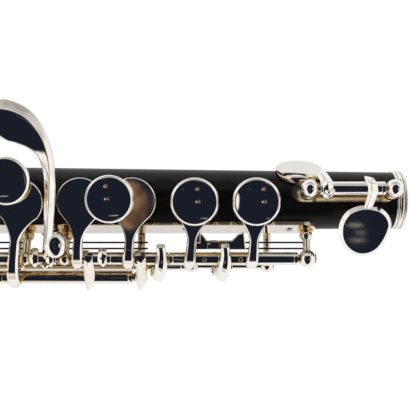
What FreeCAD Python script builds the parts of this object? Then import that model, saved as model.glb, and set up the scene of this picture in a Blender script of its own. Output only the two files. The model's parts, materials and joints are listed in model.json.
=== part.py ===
import FreeCAD, Part
import Sketcher
import math
import os
import re
from FreeCAD import Placement, Rotation, Vector

# Piccolo in two joints. +X runs along the bore towards the foot, the key cups face +Z and the hinge
# rods lie on the -Y side. The origin is the middle of the bore at the foot end. Millimetres and degrees.

sizes = {
    # body joint
    "body_length": 208, "foot_radius": 8.1, "upper_radius": 9.5, "taper_length": 110,
    "barrel_radius": 10.6, "barrel_length": 16, "barrel_slope": 5, "bore_foot_radius": 4.5,
    "bore_straight": 12, "bore_top_radius": 5.4, "socket_radius": 7.4, "socket_depth": 18,
    # rings
    "ring_gap": 0.05, "foot_ring_width": 3.1, "foot_ring_radius": 8.5, "foot_ring_seat": 7.4,
    "foot_ring_lip": 0.7, "bead_depth": 0.3, "bead_width": 0.7, "socket_ring_width": 6.5,
    "socket_ring_radius": 11.2, "socket_ring_seat": 9.9, "socket_ring_lip": 0.7,
    # head joint
    "tenon_length": 17.3, "tenon_radius": 6.5, "tenon_gap": 0.08, "cork_margin": 2, "head_gap": 0.4,
    "head_neck_radius": 9.7, "head_waist_radius": 10.7, "embouchure_x": -263, "head_end_x": -304,
    "head_end_radius": 10.0, "head_bore_radius": 5.4, "head_ring_width": 5, "head_ring_radius": 10.5,
    "head_ring_seat": 8.9, "head_ring_lip": 0.7, "end_ring_width": 3.6, "end_ring_radius": 10.5,
    "end_ring_seat": 9.2, "blow_hole_radius": 4.6, "blow_hole_spread": 0.8, "blow_land": 14,
    "crown_length": 11, "crown_radius": 9.6, "crown_plug_length": 5, "crown_dome": 3, "crown_gap": 0.3,
    # stopper
    "stopper_setback": 8, "stopper_plate_thickness": 1.2, "stopper_cork_length": 12, "stopper_gap": 0.05,
    "stopper_screw_radius": 1.5, "stopper_screw_length": 33, "stopper_washer_radius": 4.4,
    "thread_gap": 0.1,
    # straps
    "strap_thickness": 1.0, "strap_gap": 0.05, "rib_width": 7.0, "rib_level": 7.9, "rib_from": -171.5,
    "rib_to": -25.2, "eb_strap_width": 5.4, "eb_strap_level": 7.7, "eb_strap_from": -32.6,
    "eb_strap_to": -3.8, "thumb_strap_width": 4.6, "thumb_strap_level": 8.4, "thumb_strap_from": -164.5,
    "thumb_strap_to": -131.9, "screw_head_radius": 1.1, "screw_head_height": 0.5,
    "screw_shank_radius": 0.6, "screw_shank_length": 3, "screw_gap": 0.05, "screw_slot": 0.25,
    "screw_offset": 4.6, "rib_screw_upper": -133.0, "rib_screw_lower": -62.0,
    # hinge lines, each by its place across and above the bore, and the roll of its posts
    "main_y": -16.4, "main_z": 6.5, "outer_y": -22.0, "outer_z": 2.5, "trill_y": -19.2, "trill_z": -4.2,
    "eb_y": 3.1, "eb_z": 12.5, "thumb_y": -15.0, "thumb_z": -8.5, "outer_roll": 68, "trill_roll": 90,
    "outer_foot": 6.3, "trill_foot": 6.3,
    # rods, tubes and posts
    "steel_radius": 1.0, "steel_gap": 0.05, "tube_radius": 1.85, "trill_tube_radius": 1.5, "end_gap": 0.2,
    "post_gap": 0.2, "stem_radius": 1.1, "foot_bulb_radius": 1.75, "flange_radius": 2.1,
    "flange_height": 0.7, "end_ball_radius": 2.5, "ball_radius": 2.0, "cradle_ball_radius": 2.4,
    "post_hole_gap": 0.02, "main_foot_post": -28.0, "main_g_sharp_post": -95.9, "main_a_post": -107.0,
    "main_top_post": -168.2, "outer_foot_post": -75.2, "outer_top_post": -129.0, "trill_foot_post": -38.4,
    "trill_mid_post": -60.5, "trill_cradle_post": -111.5, "trill_top_post": -190.0, "eb_top_post": -28.1,
    "eb_foot_post": -5.0, "thumb_foot_post": -134.4, "thumb_top_post": -161.8,
    # pads and cups
    "pad_gap": 0.12, "pad_radius": 5.7, "pad_thickness": 1.7, "cup_gap": 0.12, "cup_wall": 0.5,
    "cup_rim": 0.5, "plate_thickness": 1.2, "plate_lip": 0.15, "seat_level": 7.6, "seat_margin": 0.4,
    "plate_bend": 12.5, "outer_bend": 15.5, "round_bend": 6.0, "neck_width": 3.0, "neck_start": 11.2,
    "neck_curve": 7.5, "neck_share": 0.5, "neck_angle": 32, "tip_wrap": 0.9, "tip_point": 1.2,
    "disc_radius": 6.55, "disc_face_radius": 5.95, "disc_height": 1.6, "disc_lift": 0.9, "disc_dish": 0.8,
    "disc_stem_radius": 1.3, "disc_slope": 0.75, "open_angle": 5, "small_pad_radius": 4.2,
    "eb_pad_radius": 5.7,
    # key places along the bore
    "eb_x": -30.0, "d_x": -42.7, "e_x": -59.4, "f_x": -76.5, "f_sharp_x": -90.7, "low_g_x": -107.2,
    "g_sharp_x": -101.2, "up_g_x": -120.6, "a_x": -134.0, "b_flat_x": -147.4, "c_x": -160.8,
    "trill_one_x": -172.6, "trill_two_x": -182.9, "thumb_b_x": -153.2, "thumb_b_flat_x": -139.4,
    "arm_slant": 1.6,
    # key sections along the hinge lines
    "d_tube_end": -51.6, "e_tube_end": -66.6, "f_tube_end": -84.0, "a_tube_end": -139.6,
    "b_flat_tube_end": -153.0, "low_g_tube_end": -115.4, "trill_one_tube_end": -176.6,
    "thumb_tube_end": -146.2,
    # tone holes
    "tone_hole_radius": 3.3, "small_hole_radius": 2.2, "eb_seat": 7.0, "under_seat": 7.6, "eb_roll": -68,
    "g_sharp_roll": 145, "thumb_roll": 180,
    # finger pieces
    "f_disc_shift": -6.0, "f_disc_reach": 0.7, "low_g_disc_shift": -3.0, "low_g_disc_reach": 6.0,
    "lug_width": 4.0, "lug_thickness": 0.9, "lug_reach": 9.2, "lug_gap": 0.35, "collar_wall": 0.5,
    "collar_width": 1.8, "f_lug_x": -75.4, "f_sharp_lug_x": -90.2, "touch_radius": 7.2,
    "touch_thickness": 1.3, "eb_arm_x": -23.2, "eb_touch_x": -12.8, "eb_touch_y": -8.5,
    "eb_touch_z": 11.2, "eb_touch_tilt": 12, "eb_arm_width": 3.4, "eb_neck_start": 7.6,
    "eb_neck_share": 0.92, "lever_radius": 1.4, "lever_x": -99.0, "lever_top": 14.6, "lever_end_y": 13.5,
    "lever_end_z": 11.6, "spoon_x": -111.0, "spoon_y": 21.0, "spoon_thickness": 1.5, "spoon_tilt": -6,
    "saddle_x": -98.8, "saddle_y": -12.5, "saddle_radius": 3.7, "saddle_height": 3.0,
    "trill_one_touch_x": -69.3, "trill_two_touch_x": -51.6, "trill_touch_y": -17.7, "trill_touch_z": 9.9,
    "trill_touch_tilt": 10, "trill_touch_length": 10.6, "trill_touch_width": 3.8,
    "trill_touch_thickness": 1.1, "trill_arm_width": 2.4, "trill_web": 1.5, "web_gap": 0.6,
    # needle springs
    "needle_radius": 0.25, "needle_length": 22, "needle_level": 12.9, "needle_step": 1.8,
    "needle_gap": 0.02,
}

doc = FreeCAD.newDocument("Piccolo")
sheet = doc.addObject("Spreadsheet::Sheet", "Sizes")
for row, (alias, number) in enumerate(sizes.items(), start=1):
    sheet.set(f"A{row}", alias)
    sheet.set(f"B{row}", str(number))
    sheet.setAlias(f"B{row}", alias)
doc.recompute()

pieces = []


# ---- formulas, sketches and features ----

def bound(formula):
    """Points each size's name in a formula at the sheet."""
    return re.sub(r"[a-z_]+", lambda word: "Sizes." + word[0] if word[0] in sizes else word[0], str(formula))


def value(formula):
    found = sheet.evalExpression(bound(formula))
    return float(getattr(found, "Value", found))


def new_body(label):
    body = doc.addObject("PartDesign::Body", label)
    body.Label = label
    return body


def sketch_on(body, role, name, x="0", y="0", z="0", roll="0"):
    """A sketch on an origin plane, moved in the plane's own directions and rolled about its first axis."""
    sketch = body.newObject("Sketcher::SketchObject", name)
    plane = next(feature for feature in body.Origin.OriginFeatures if feature.Role == role)
    sketch.AttachmentSupport = (plane, [""])
    sketch.MapMode = "FlatFace"
    sketch.AttachmentOffset = Placement(Vector(), Rotation(Vector(1, 0, 0), value(roll)))
    for direction, formula in zip("xyz", (x, y, z)):
        sketch.setExpression("AttachmentOffset.Base." + direction, bound(formula))
    if roll != "0":
        sketch.setExpression("AttachmentOffset.Rotation.Angle", bound(f"({roll}) * 1deg"))
    return sketch


def hold(sketch, constraints):
    """Adds (constraint, formula) pairs, each bound to its formula."""
    first = sketch.ConstraintCount
    sketch.addConstraint([constraint for constraint, formula in constraints])
    for number, (constraint, formula) in enumerate(constraints, start=first):
        if formula is not None:
            sketch.setExpression(f"Constraints[{number}]", bound(formula))


def drawn_backwards(sketch, edge, start):
    """Whether the edge's own first point is its far one from the start."""
    first, last = sketch.getPoint(edge, 1), sketch.getPoint(edge, 2)
    return first.distanceToPoint(start) > last.distanceToPoint(start)


def outline(sketch, corners):
    """Joins the corners in a ring. A corner (x, y) ends a line and (x, y, radius, side) ends an arc under
    half a turn, whose centre is to the left of its way (side 1) or to the right (side -1)."""
    places = [Vector(value(corner[0]), value(corner[1]), 0) for corner in corners]
    constraints = []
    ends = []
    for number, corner in enumerate(corners):
        start, end = places[number - 1], places[number]
        if len(corner) == 2:
            edge = sketch.addGeometry(Part.LineSegment(start, end), False)
        else:
            radius, side = value(corner[2]), corner[3]
            half = (end - start) / 2
            across = Vector(half.y, -half.x, 0).normalize() * side
            rise = radius - math.sqrt(radius ** 2 - half.Length ** 2)
            edge = sketch.addGeometry(Part.Arc(start, start + half + across * rise, end), False)
            constraints.append((Sketcher.Constraint("Radius", edge, radius), corner[2]))
        ends.append((edge, 2, 1) if drawn_backwards(sketch, edge, start) else (edge, 1, 2))
    for number, (edge, start, end) in enumerate(ends):
        following = ends[(number + 1) % len(ends)]
        place = places[number]
        constraints += [
            (Sketcher.Constraint("Coincident", edge, end, following[0], following[1]), None),
            (Sketcher.Constraint("DistanceX", -1, 1, edge, end, place.x), corners[number][0]),
            (Sketcher.Constraint("DistanceY", -1, 1, edge, end, place.y), corners[number][1]),
        ]
    hold(sketch, constraints)


def circle(sketch, x, y, radius):
    centre = Vector(value(x), value(y), 0)
    edge = sketch.addGeometry(Part.Circle(centre, Vector(0, 0, 1), value(radius)), False)
    hold(sketch, [
        (Sketcher.Constraint("Radius", edge, value(radius)), radius),
        (Sketcher.Constraint("DistanceX", -1, 1, edge, 3, centre.x), x),
        (Sketcher.Constraint("DistanceY", -1, 1, edge, 3, centre.y), y),
    ])


def box_outline(sketch, left, right, low, high):
    outline(sketch, [(left, low), (right, low), (right, high), (left, high)])


def revolve(body, name, sketch, axis, kind="Revolution"):
    feature = body.newObject("PartDesign::" + kind, name)
    feature.Profile = sketch
    feature.ReferenceAxis = (sketch, [axis])
    feature.Angle = 360
    return feature


def pad(body, name, sketch, length, symmetric=False):
    feature = body.newObject("PartDesign::Pad", name)
    feature.Profile = sketch
    feature.SideType = "Symmetric" if symmetric else "One side"
    feature.setExpression("Length", bound(length))
    return feature


def pocket(body, name, sketch, depth=None, forward=False):
    """Cuts against the sketch's normal, or along it where forward is set; right through with no depth."""
    feature = body.newObject("PartDesign::Pocket", name)
    feature.Profile = sketch
    feature.Reversed = forward
    if depth is None:
        feature.Type = "ThroughAll"
    else:
        feature.setExpression("Length", bound(depth))
    return feature


def turned_piece(label, corners):
    """A piece turned about the bore, from its half section in X and Z."""
    body = new_body(label)
    sketch = sketch_on(body, "XZ_Plane", label + "_section")
    outline(sketch, corners)
    revolve(body, label + "_turning", sketch, "H_Axis")
    pieces.append(body)
    return body


def drill(body, name, holes, bottom, roll="0", top="30"):
    """Round holes (x, y, radius) from above down to the bottom level, seen along the roll."""
    for number, (x, y, radius) in enumerate(holes):
        sketch = sketch_on(body, "XY_Plane", f"{name}_plan_{number}", "0", f"-({top}) * sin({roll})",
                           f"({top}) * cos({roll})", roll)
        circle(sketch, x, y, radius)
        pocket(body, f"{name}_{number}", sketch, f"({top}) - ({bottom})")


# ---- wooden body ----

wood_foot = "-foot_ring_lip - ring_gap"
ring_inner = "-foot_ring_width - ring_gap"
barrel_start = "-body_length + barrel_length"


def wood_radius(x):
    """Outer radius of the wood in its taper."""
    return f"(foot_radius - ({x}) * (upper_radius - foot_radius) / taper_length)"


body_tube = turned_piece("body_tube", [
    (wood_foot, "bore_foot_radius"),
    (wood_foot, "foot_ring_seat - ring_gap"),
    (ring_inner, "foot_ring_seat - ring_gap"),
    (ring_inner, "foot_radius"),
    ("-taper_length", "upper_radius"),
    (f"{barrel_start} + barrel_slope", "upper_radius"),
    (barrel_start, "barrel_radius"),
    ("-body_length + socket_ring_width + ring_gap", "barrel_radius"),
    ("-body_length + socket_ring_width + ring_gap", "socket_ring_seat - ring_gap"),
    ("-body_length + socket_ring_lip + ring_gap", "socket_ring_seat - ring_gap"),
    ("-body_length + socket_ring_lip + ring_gap", "socket_radius"),
    ("-body_length + socket_depth", "socket_radius"),
    ("-body_length + socket_depth", "bore_top_radius"),
    ("-bore_straight", "bore_foot_radius"),
])

top_keys = ["d_x", "e_x", "f_x", "f_sharp_x", "low_g_x", "up_g_x", "a_x", "b_flat_x"]
small_keys = ["c_x", "trill_one_x", "trill_two_x"]
thumb_keys = ["thumb_b_x", "thumb_b_flat_x"]
seat_radius = "pad_radius + cup_gap + cup_wall + seat_margin"
small_seat_radius = "small_pad_radius + cup_gap + cup_wall + seat_margin"
eb_seat_radius = "eb_pad_radius + cup_gap + cup_wall + seat_margin"

drill(body_tube, "top_seats", [(x, "0", seat_radius) for x in top_keys], "seat_level")
drill(body_tube, "top_holes", [(x, "0", "tone_hole_radius") for x in top_keys], "0")
drill(body_tube, "small_seats", [(x, "0", small_seat_radius) for x in small_keys], "seat_level")
drill(body_tube, "small_holes", [(x, "0", "small_hole_radius") for x in small_keys], "0")
drill(body_tube, "eb_seat_flat", [("eb_x", "0", eb_seat_radius)], "eb_seat", "eb_roll")
drill(body_tube, "eb_hole", [("eb_x", "0", "tone_hole_radius")], "0", "eb_roll")
drill(body_tube, "g_sharp_seat", [("g_sharp_x", "0", seat_radius)], "under_seat", "g_sharp_roll")
drill(body_tube, "g_sharp_hole", [("g_sharp_x", "0", "tone_hole_radius")], "0", "g_sharp_roll")
drill(body_tube, "thumb_seats", [(x, "0", seat_radius) for x in thumb_keys], "under_seat", "thumb_roll")
drill(body_tube, "thumb_holes", [(x, "0", "tone_hole_radius") for x in thumb_keys], "0", "thumb_roll")


# ---- straps, their screws and the channels they lie in ----

main_roll = "atan2(-main_y; main_z) / 1deg"
eb_line_roll = "atan2(-eb_y; eb_z) / 1deg"
thumb_line_roll = "atan2(-thumb_y; thumb_z) / 1deg"

straps = {
    "main_rib": (main_roll, "rib_level", "rib_width", "rib_from", "rib_to",
                 ["main_top_post + screw_offset", "rib_screw_upper", "main_g_sharp_post - screw_offset",
                  "rib_screw_lower", "main_foot_post - screw_offset"]),
    "eb_strap": (eb_line_roll, "eb_strap_level", "eb_strap_width", "eb_strap_from", "eb_strap_to",
                 ["eb_top_post + screw_offset", "eb_foot_post - screw_offset"]),
    "thumb_strap": (thumb_line_roll, "thumb_strap_level", "thumb_strap_width", "thumb_strap_from",
                    "thumb_strap_to", ["thumb_top_post + screw_offset", "thumb_foot_post - screw_offset"]),
}


def strap_outline(sketch, left, right, width, gap="0"):
    """A bar with round ends."""
    half = f"(({width}) / 2 + {gap})"
    reach = f"({width}) / 2"
    outline(sketch, [
        (f"{right} - {reach}", f"-{half}"),
        (f"{right} + {gap}", "0", half, 1),
        (f"{right} - {reach}", half, half, 1),
        (f"{left} + {reach}", half),
        (f"{left} - {gap}", "0", half, 1),
        (f"{left} + {reach}", f"-{half}", half, 1),
    ])


screw_parts = []
for label, (roll, level, width, left, right, screws) in straps.items():
    channel = sketch_on(body_tube, "XY_Plane", label + "_channel_plan", "0", f"-30 * sin({roll})",
                        f"30 * cos({roll})", roll)
    strap_outline(channel, left, right, width, "strap_gap")
    pocket(body_tube, label + "_channel", channel, f"30 - {level}")
    drill(body_tube, label + "_screw_holes", [(x, "0", "screw_shank_radius + screw_gap") for x in screws],
          f"{level} + strap_thickness - screw_shank_length - screw_gap", roll)

    strap = new_body(label)
    bar = sketch_on(strap, "XY_Plane", label + "_plan", "0", "0", level)
    strap_outline(bar, left, right, width)
    pad(strap, label + "_bar", bar, "strap_thickness")
    drill(strap, label + "_holes", [(x, "0", "screw_shank_radius + screw_gap") for x in screws], level)
    strap.Placement = Placement(Vector(), Rotation(Vector(1, 0, 0), value(roll)))
    pieces.append(strap)
    screw_parts.append((roll, f"{level} + strap_thickness", screws))

screw = new_body("strap_screw")
section = sketch_on(screw, "XZ_Plane", "screw_section")
head_arc = "(screw_head_radius ^ 2 + screw_head_height ^ 2) / (2 * screw_head_height)"
outline(section, [
    ("0", "-screw_shank_length"),
    ("screw_shank_radius", "-screw_shank_length"),
    ("screw_shank_radius", "0"),
    ("screw_head_radius", "0"),
    ("0", "screw_head_height", head_arc, 1),
])
revolve(screw, "screw_turning", section, "V_Axis")
slot = sketch_on(screw, "XY_Plane", "screw_slot_plan", z="screw_head_height")
box_outline(slot, "-screw_head_radius", "screw_head_radius", "-screw_slot / 2", "screw_slot / 2")
pocket(screw, "screw_slot_cut", slot, "screw_slot")


def group(label, source, places):
    """One node of identical pieces: a link to the source piece at each place (x, y, z, roll)."""
    links = []
    for number, (x, y, z, roll) in enumerate(places):
        link = doc.addObject("App::Link", f"{label}_{number}")
        link.LinkedObject = source
        link.Placement = Placement(Vector(), Rotation(Vector(1, 0, 0), value(roll)))
        for direction, formula in zip("xyz", (x, y, z)):
            link.setExpression("Placement.Base." + direction, bound(formula))
        links.append(link)
    compound = doc.addObject("Part::Compound", label)
    compound.Label = label
    compound.Links = links
    pieces.append(compound)
    return compound


group("strap_screws", screw, [
    (x, f"-({level}) * sin({roll})", f"({level}) * cos({roll})", roll)
    for roll, level, screws in screw_parts
    for x in screws
])


# ---- rings ----

def ring(label, outer_end, lip_end, inner_end, radius, seat, lip_hole):
    """A ferrule with two turned grooves and a lip over the end of the wood."""
    middle = f"(({outer_end}) + ({inner_end})) / 2"
    toward = f"(({inner_end}) - ({outer_end})) / abs(({inner_end}) - ({outer_end}))"
    groove = [
        (f"{middle} - {toward} * bead_width * 1.5", radius),
        (f"{middle} - {toward} * bead_width", f"{radius} - bead_depth"),
        (f"{middle} - {toward} * bead_width / 2", radius),
        (f"{middle} + {toward} * bead_width / 2", radius),
        (f"{middle} + {toward} * bead_width", f"{radius} - bead_depth"),
        (f"{middle} + {toward} * bead_width * 1.5", radius),
    ]
    return turned_piece(label, [
        (outer_end, lip_hole),
        (outer_end, f"{radius} - bead_depth"),
        (f"({outer_end}) + {toward} * bead_depth", radius),
        *groove,
        (inner_end, radius),
        (inner_end, seat),
        (lip_end, seat),
        (lip_end, lip_hole),
    ])


ring("foot_ring", "0", "-foot_ring_lip", "-foot_ring_width", "foot_ring_radius", "foot_ring_seat",
     "bore_foot_radius")
ring("socket_ring", "-body_length", "-body_length + socket_ring_lip", "-body_length + socket_ring_width",
     "socket_ring_radius", "socket_ring_seat", "socket_radius")


# ---- head joint ----

shoulder = "-body_length - head_gap"
tenon_end = f"{shoulder} + tenon_length"
head_tube = turned_piece("head_tube", [
    (tenon_end, "head_bore_radius"),
    (tenon_end, "socket_radius - tenon_gap"),
    (f"{tenon_end} - cork_margin", "socket_radius - tenon_gap"),
    (f"{tenon_end} - cork_margin", "tenon_radius"),
    (f"{shoulder} + cork_margin", "tenon_radius"),
    (f"{shoulder} + cork_margin", "socket_radius - tenon_gap"),
    (f"{shoulder} - head_ring_width + head_ring_lip", "socket_radius - tenon_gap"),
    (f"{shoulder} - head_ring_width + head_ring_lip", "head_ring_seat - ring_gap"),
    (f"{shoulder} - head_ring_width - ring_gap", "head_ring_seat - ring_gap"),
    (f"{shoulder} - head_ring_width - ring_gap", "head_neck_radius"),
    ("embouchure_x + blow_land", "head_waist_radius"),
    ("embouchure_x - blow_land", "head_waist_radius"),
    ("head_end_x + end_ring_width + ring_gap", "head_end_radius"),
    ("head_end_x + end_ring_width + ring_gap", "end_ring_seat - ring_gap"),
    ("head_end_x + ring_gap", "end_ring_seat - ring_gap"),
    ("head_end_x + ring_gap", "head_bore_radius"),
])
blow_hole = sketch_on(head_tube, "XY_Plane", "blow_hole_plan", z="30")
outline(blow_hole, [
    ("embouchure_x + blow_hole_spread", "-blow_hole_radius"),
    ("embouchure_x + blow_hole_spread + blow_hole_radius", "0", "blow_hole_radius", 1),
    ("embouchure_x + blow_hole_spread", "blow_hole_radius", "blow_hole_radius", 1),
    ("embouchure_x - blow_hole_spread", "blow_hole_radius"),
    ("embouchure_x - blow_hole_spread - blow_hole_radius", "0", "blow_hole_radius", 1),
    ("embouchure_x - blow_hole_spread", "-blow_hole_radius", "blow_hole_radius", 1),
])
pocket(head_tube, "blow_hole_cut", blow_hole, "30")

turned_piece("tenon_cork", [
    (f"{tenon_end} - cork_margin - ring_gap", "tenon_radius"),
    (f"{tenon_end} - cork_margin - ring_gap", "socket_radius - tenon_gap / 2"),
    (f"{shoulder} + cork_margin + ring_gap", "socket_radius - tenon_gap / 2"),
    (f"{shoulder} + cork_margin + ring_gap", "tenon_radius"),
])
turned_piece("head_ring", [
    (shoulder, "socket_radius"),
    (shoulder, "head_ring_radius - bead_depth"),
    (f"{shoulder} - bead_depth", "head_ring_radius"),
    (f"{shoulder} - head_ring_width / 2 + bead_width / 2", "head_ring_radius"),
    (f"{shoulder} - head_ring_width / 2", "head_ring_radius - bead_depth"),
    (f"{shoulder} - head_ring_width / 2 - bead_width / 2", "head_ring_radius"),
    (f"{shoulder} - head_ring_width", "head_ring_radius"),
    (f"{shoulder} - head_ring_width", "head_ring_seat"),
    (f"{shoulder} - head_ring_width + head_ring_lip + ring_gap", "head_ring_seat"),
    (f"{shoulder} - head_ring_width + head_ring_lip + ring_gap", "socket_radius"),
])
turned_piece("end_ring", [
    ("head_end_x", "end_ring_seat"),
    ("head_end_x", "end_ring_radius - bead_depth"),
    ("head_end_x + bead_depth", "end_ring_radius"),
    ("head_end_x + end_ring_width - bead_depth", "end_ring_radius"),
    ("head_end_x + end_ring_width", "end_ring_radius - bead_depth"),
    ("head_end_x + end_ring_width", "end_ring_seat"),
])

crown_face = "head_end_x - crown_gap"
thread_hole = "stopper_screw_radius + thread_gap"
crown = turned_piece("crown", [
    ("head_end_x + crown_plug_length", thread_hole),
    ("head_end_x + crown_plug_length", "head_bore_radius - stopper_gap"),
    (crown_face, "head_bore_radius - stopper_gap"),
    (crown_face, "crown_radius"),
    (f"{crown_face} - crown_length + crown_dome", "crown_radius"),
    (f"{crown_face} - crown_length", "0", "(crown_radius ^ 2 + crown_dome ^ 2) / (2 * crown_dome)", 1),
    (f"{crown_face} - crown_length + crown_dome + 1", "0"),
    (f"{crown_face} - crown_length + crown_dome + 1", thread_hole),
])

plate_face = "embouchure_x - stopper_setback"
cork_face = f"{plate_face} - stopper_plate_thickness"
cork_back = f"{cork_face} - stopper_cork_length"
turned_piece("stopper_screw", [
    (plate_face, "0"),
    (plate_face, "head_bore_radius - stopper_gap"),
    (cork_face, "head_bore_radius - stopper_gap"),
    (cork_face, "stopper_screw_radius"),
    (f"{plate_face} - stopper_screw_length", "stopper_screw_radius"),
    (f"{plate_face} - stopper_screw_length", "0"),
])
turned_piece("stopper_cork", [
    (cork_face, "stopper_screw_radius"),
    (cork_face, "head_bore_radius - stopper_gap"),
    (cork_back, "head_bore_radius - stopper_gap"),
    (cork_back, "stopper_screw_radius"),
])
turned_piece("stopper_nut", [
    (cork_back, "stopper_screw_radius"),
    (cork_back, "stopper_washer_radius"),
    (f"{cork_back} - stopper_plate_thickness", "stopper_washer_radius"),
    (f"{cork_back} - stopper_plate_thickness", "stopper_screw_radius"),
])


# ---- posts ----

def post(label, level, foot, ball, hole, flange=False, bulb=False):
    """One post along +Z, its ball centred at the level, turned and then bored across for the rod."""
    body = new_body(label)
    section = sketch_on(body, "XZ_Plane", label + "_section")
    join = f"({level}) - sqrt({ball} ^ 2 - stem_radius ^ 2)"
    sole = [("0", foot), ("stem_radius", foot)]
    if flange:
        collar = f"({foot}) + flange_height"
        sole = [("0", foot), ("flange_radius", foot), ("flange_radius", collar), ("stem_radius", collar)]
    if bulb:
        waist = f"{collar} + foot_bulb_radius * 1.5"
        sole[3:] = [("foot_bulb_radius * 0.8", collar), ("stem_radius", waist, "foot_bulb_radius", 1)]
    outline(section, sole + [
        ("stem_radius", join),
        (ball, level, ball, 1),
        ("0", f"({level}) + {ball}", ball, 1),
    ])
    revolve(body, label + "_turning", section, "V_Axis")
    cross = sketch_on(body, "YZ_Plane", label + "_hole_plan", z=f"-{ball} - 1")
    circle(cross, "0", level, hole)
    pocket(body, label + "_hole", cross, forward=True)
    return body


steel_hole = "steel_radius + post_hole_gap"
cradle_hole = "trill_tube_radius + steel_gap"
main_level = "sqrt(main_y ^ 2 + main_z ^ 2)"
eb_level = "sqrt(eb_y ^ 2 + eb_z ^ 2)"
thumb_level = "sqrt(thumb_y ^ 2 + thumb_z ^ 2)"


def rolled(line, roll):
    """Where a hinge line lies across and above, seen along the roll."""
    across = f"({line}_y * cos({roll}) + {line}_z * sin({roll}))"
    above = f"({line}_z * cos({roll}) - {line}_y * sin({roll}))"
    return across, above


rib_top = "rib_level + strap_thickness"
main_end_post = post("main_end_post", main_level, rib_top, "end_ball_radius", steel_hole, True, True)
main_post = post("main_post", main_level, rib_top, "ball_radius", steel_hole, True, True)
eb_post = post("eb_post", eb_level, "eb_strap_level + strap_thickness", "end_ball_radius", steel_hole, True)
thumb_post = post("thumb_post", thumb_level, "thumb_strap_level + strap_thickness", "ball_radius", steel_hole,
                  True, True)
for label, source, roll, stations in (
    ("main_end_posts", main_end_post, main_roll, ("main_foot_post", "main_top_post")),
    ("main_posts", main_post, main_roll, ("main_g_sharp_post", "main_a_post")),
    ("eb_posts", eb_post, eb_line_roll, ("eb_foot_post", "eb_top_post")),
    ("thumb_posts", thumb_post, thumb_line_roll, ("thumb_foot_post", "thumb_top_post")),
):
    group(label, source, [(x, "0", "0", roll) for x in stations])


def wood_posts(label, line, roll, foot, ball, hole, stations):
    """Posts screwed straight into the wood, off the middle of the bore."""
    across, above = rolled(line, roll)
    master = post(label + "_one", above, foot, ball, hole)
    drill(body_tube, label + "_holes", [(x, across, "stem_radius + screw_gap") for x in stations],
          f"{foot} - screw_gap", roll)
    group(label, master, [(x, f"{across} * cos({roll})", f"{across} * sin({roll})", roll) for x in stations])


wood_posts("outer_posts", "outer", "outer_roll", "outer_foot", "ball_radius", steel_hole,
           ["outer_foot_post", "outer_top_post"])
wood_posts("trill_posts", "trill", "trill_roll", "trill_foot", "ball_radius", steel_hole,
           ["trill_foot_post", "trill_mid_post", "trill_top_post"])
wood_posts("trill_cradle", "trill", "trill_roll", "trill_foot", "cradle_ball_radius", cradle_hole,
           ["trill_cradle_post"])


# ---- rods ----

def rod(label, line, left, right):
    """A steel rod through the posts of a hinge line."""
    body = new_body(label)
    sketch = sketch_on(body, "YZ_Plane", label + "_section", z=left)
    circle(sketch, f"{line}_y", f"{line}_z", "steel_radius")
    pad(body, label + "_bar", sketch, f"({right}) - ({left})")
    pieces.append(body)


rod("main_steel", "main", "main_top_post - end_ball_radius", "main_foot_post + end_ball_radius")
rod("outer_steel", "outer", "outer_top_post - ball_radius", "outer_foot_post + ball_radius")
rod("eb_steel", "eb", "eb_top_post - end_ball_radius", "eb_foot_post + end_ball_radius")
rod("thumb_steel", "thumb", "thumb_top_post - ball_radius", "thumb_foot_post + ball_radius")

needle = new_body("needle_one")
section = sketch_on(needle, "YZ_Plane", "needle_section")
circle(section, "0", "0", "needle_radius")
pad(needle, "needle_wire", section, "needle_length")
needle_starts = ["main_foot_post - stem_radius - needle_gap - needle_length",
                 "main_g_sharp_post + stem_radius + needle_gap",
                 "main_a_post - stem_radius - needle_gap - needle_length"]
needle_levels = ["needle_level", "(needle_level + needle_step)"]
group("needle_springs", needle, [
    (x, f"-{level} * sin({main_roll})", f"{level} * cos({main_roll})", "0")
    for x in needle_starts
    for level in needle_levels
])


# ---- keys ----

def key_place(station, roll, flip, line, opened):
    """From a key's own directions, cup facing up and closed, to its place at rest on the instrument."""
    turn = Rotation(Vector(1, 0, 0), value(roll)) * Rotation(Vector(0, 0, 1), 0 if flip > 0 else 180)
    closed = Placement(Vector(value(station), 0, 0), turn)
    pivot = Vector(0, value(f"{line}_y"), value(f"{line}_z"))
    opening = Rotation(Vector(1, 0, 0), flip * value("open_angle") * opened)
    return Placement(pivot - opening.multVec(pivot), opening) * closed


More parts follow.
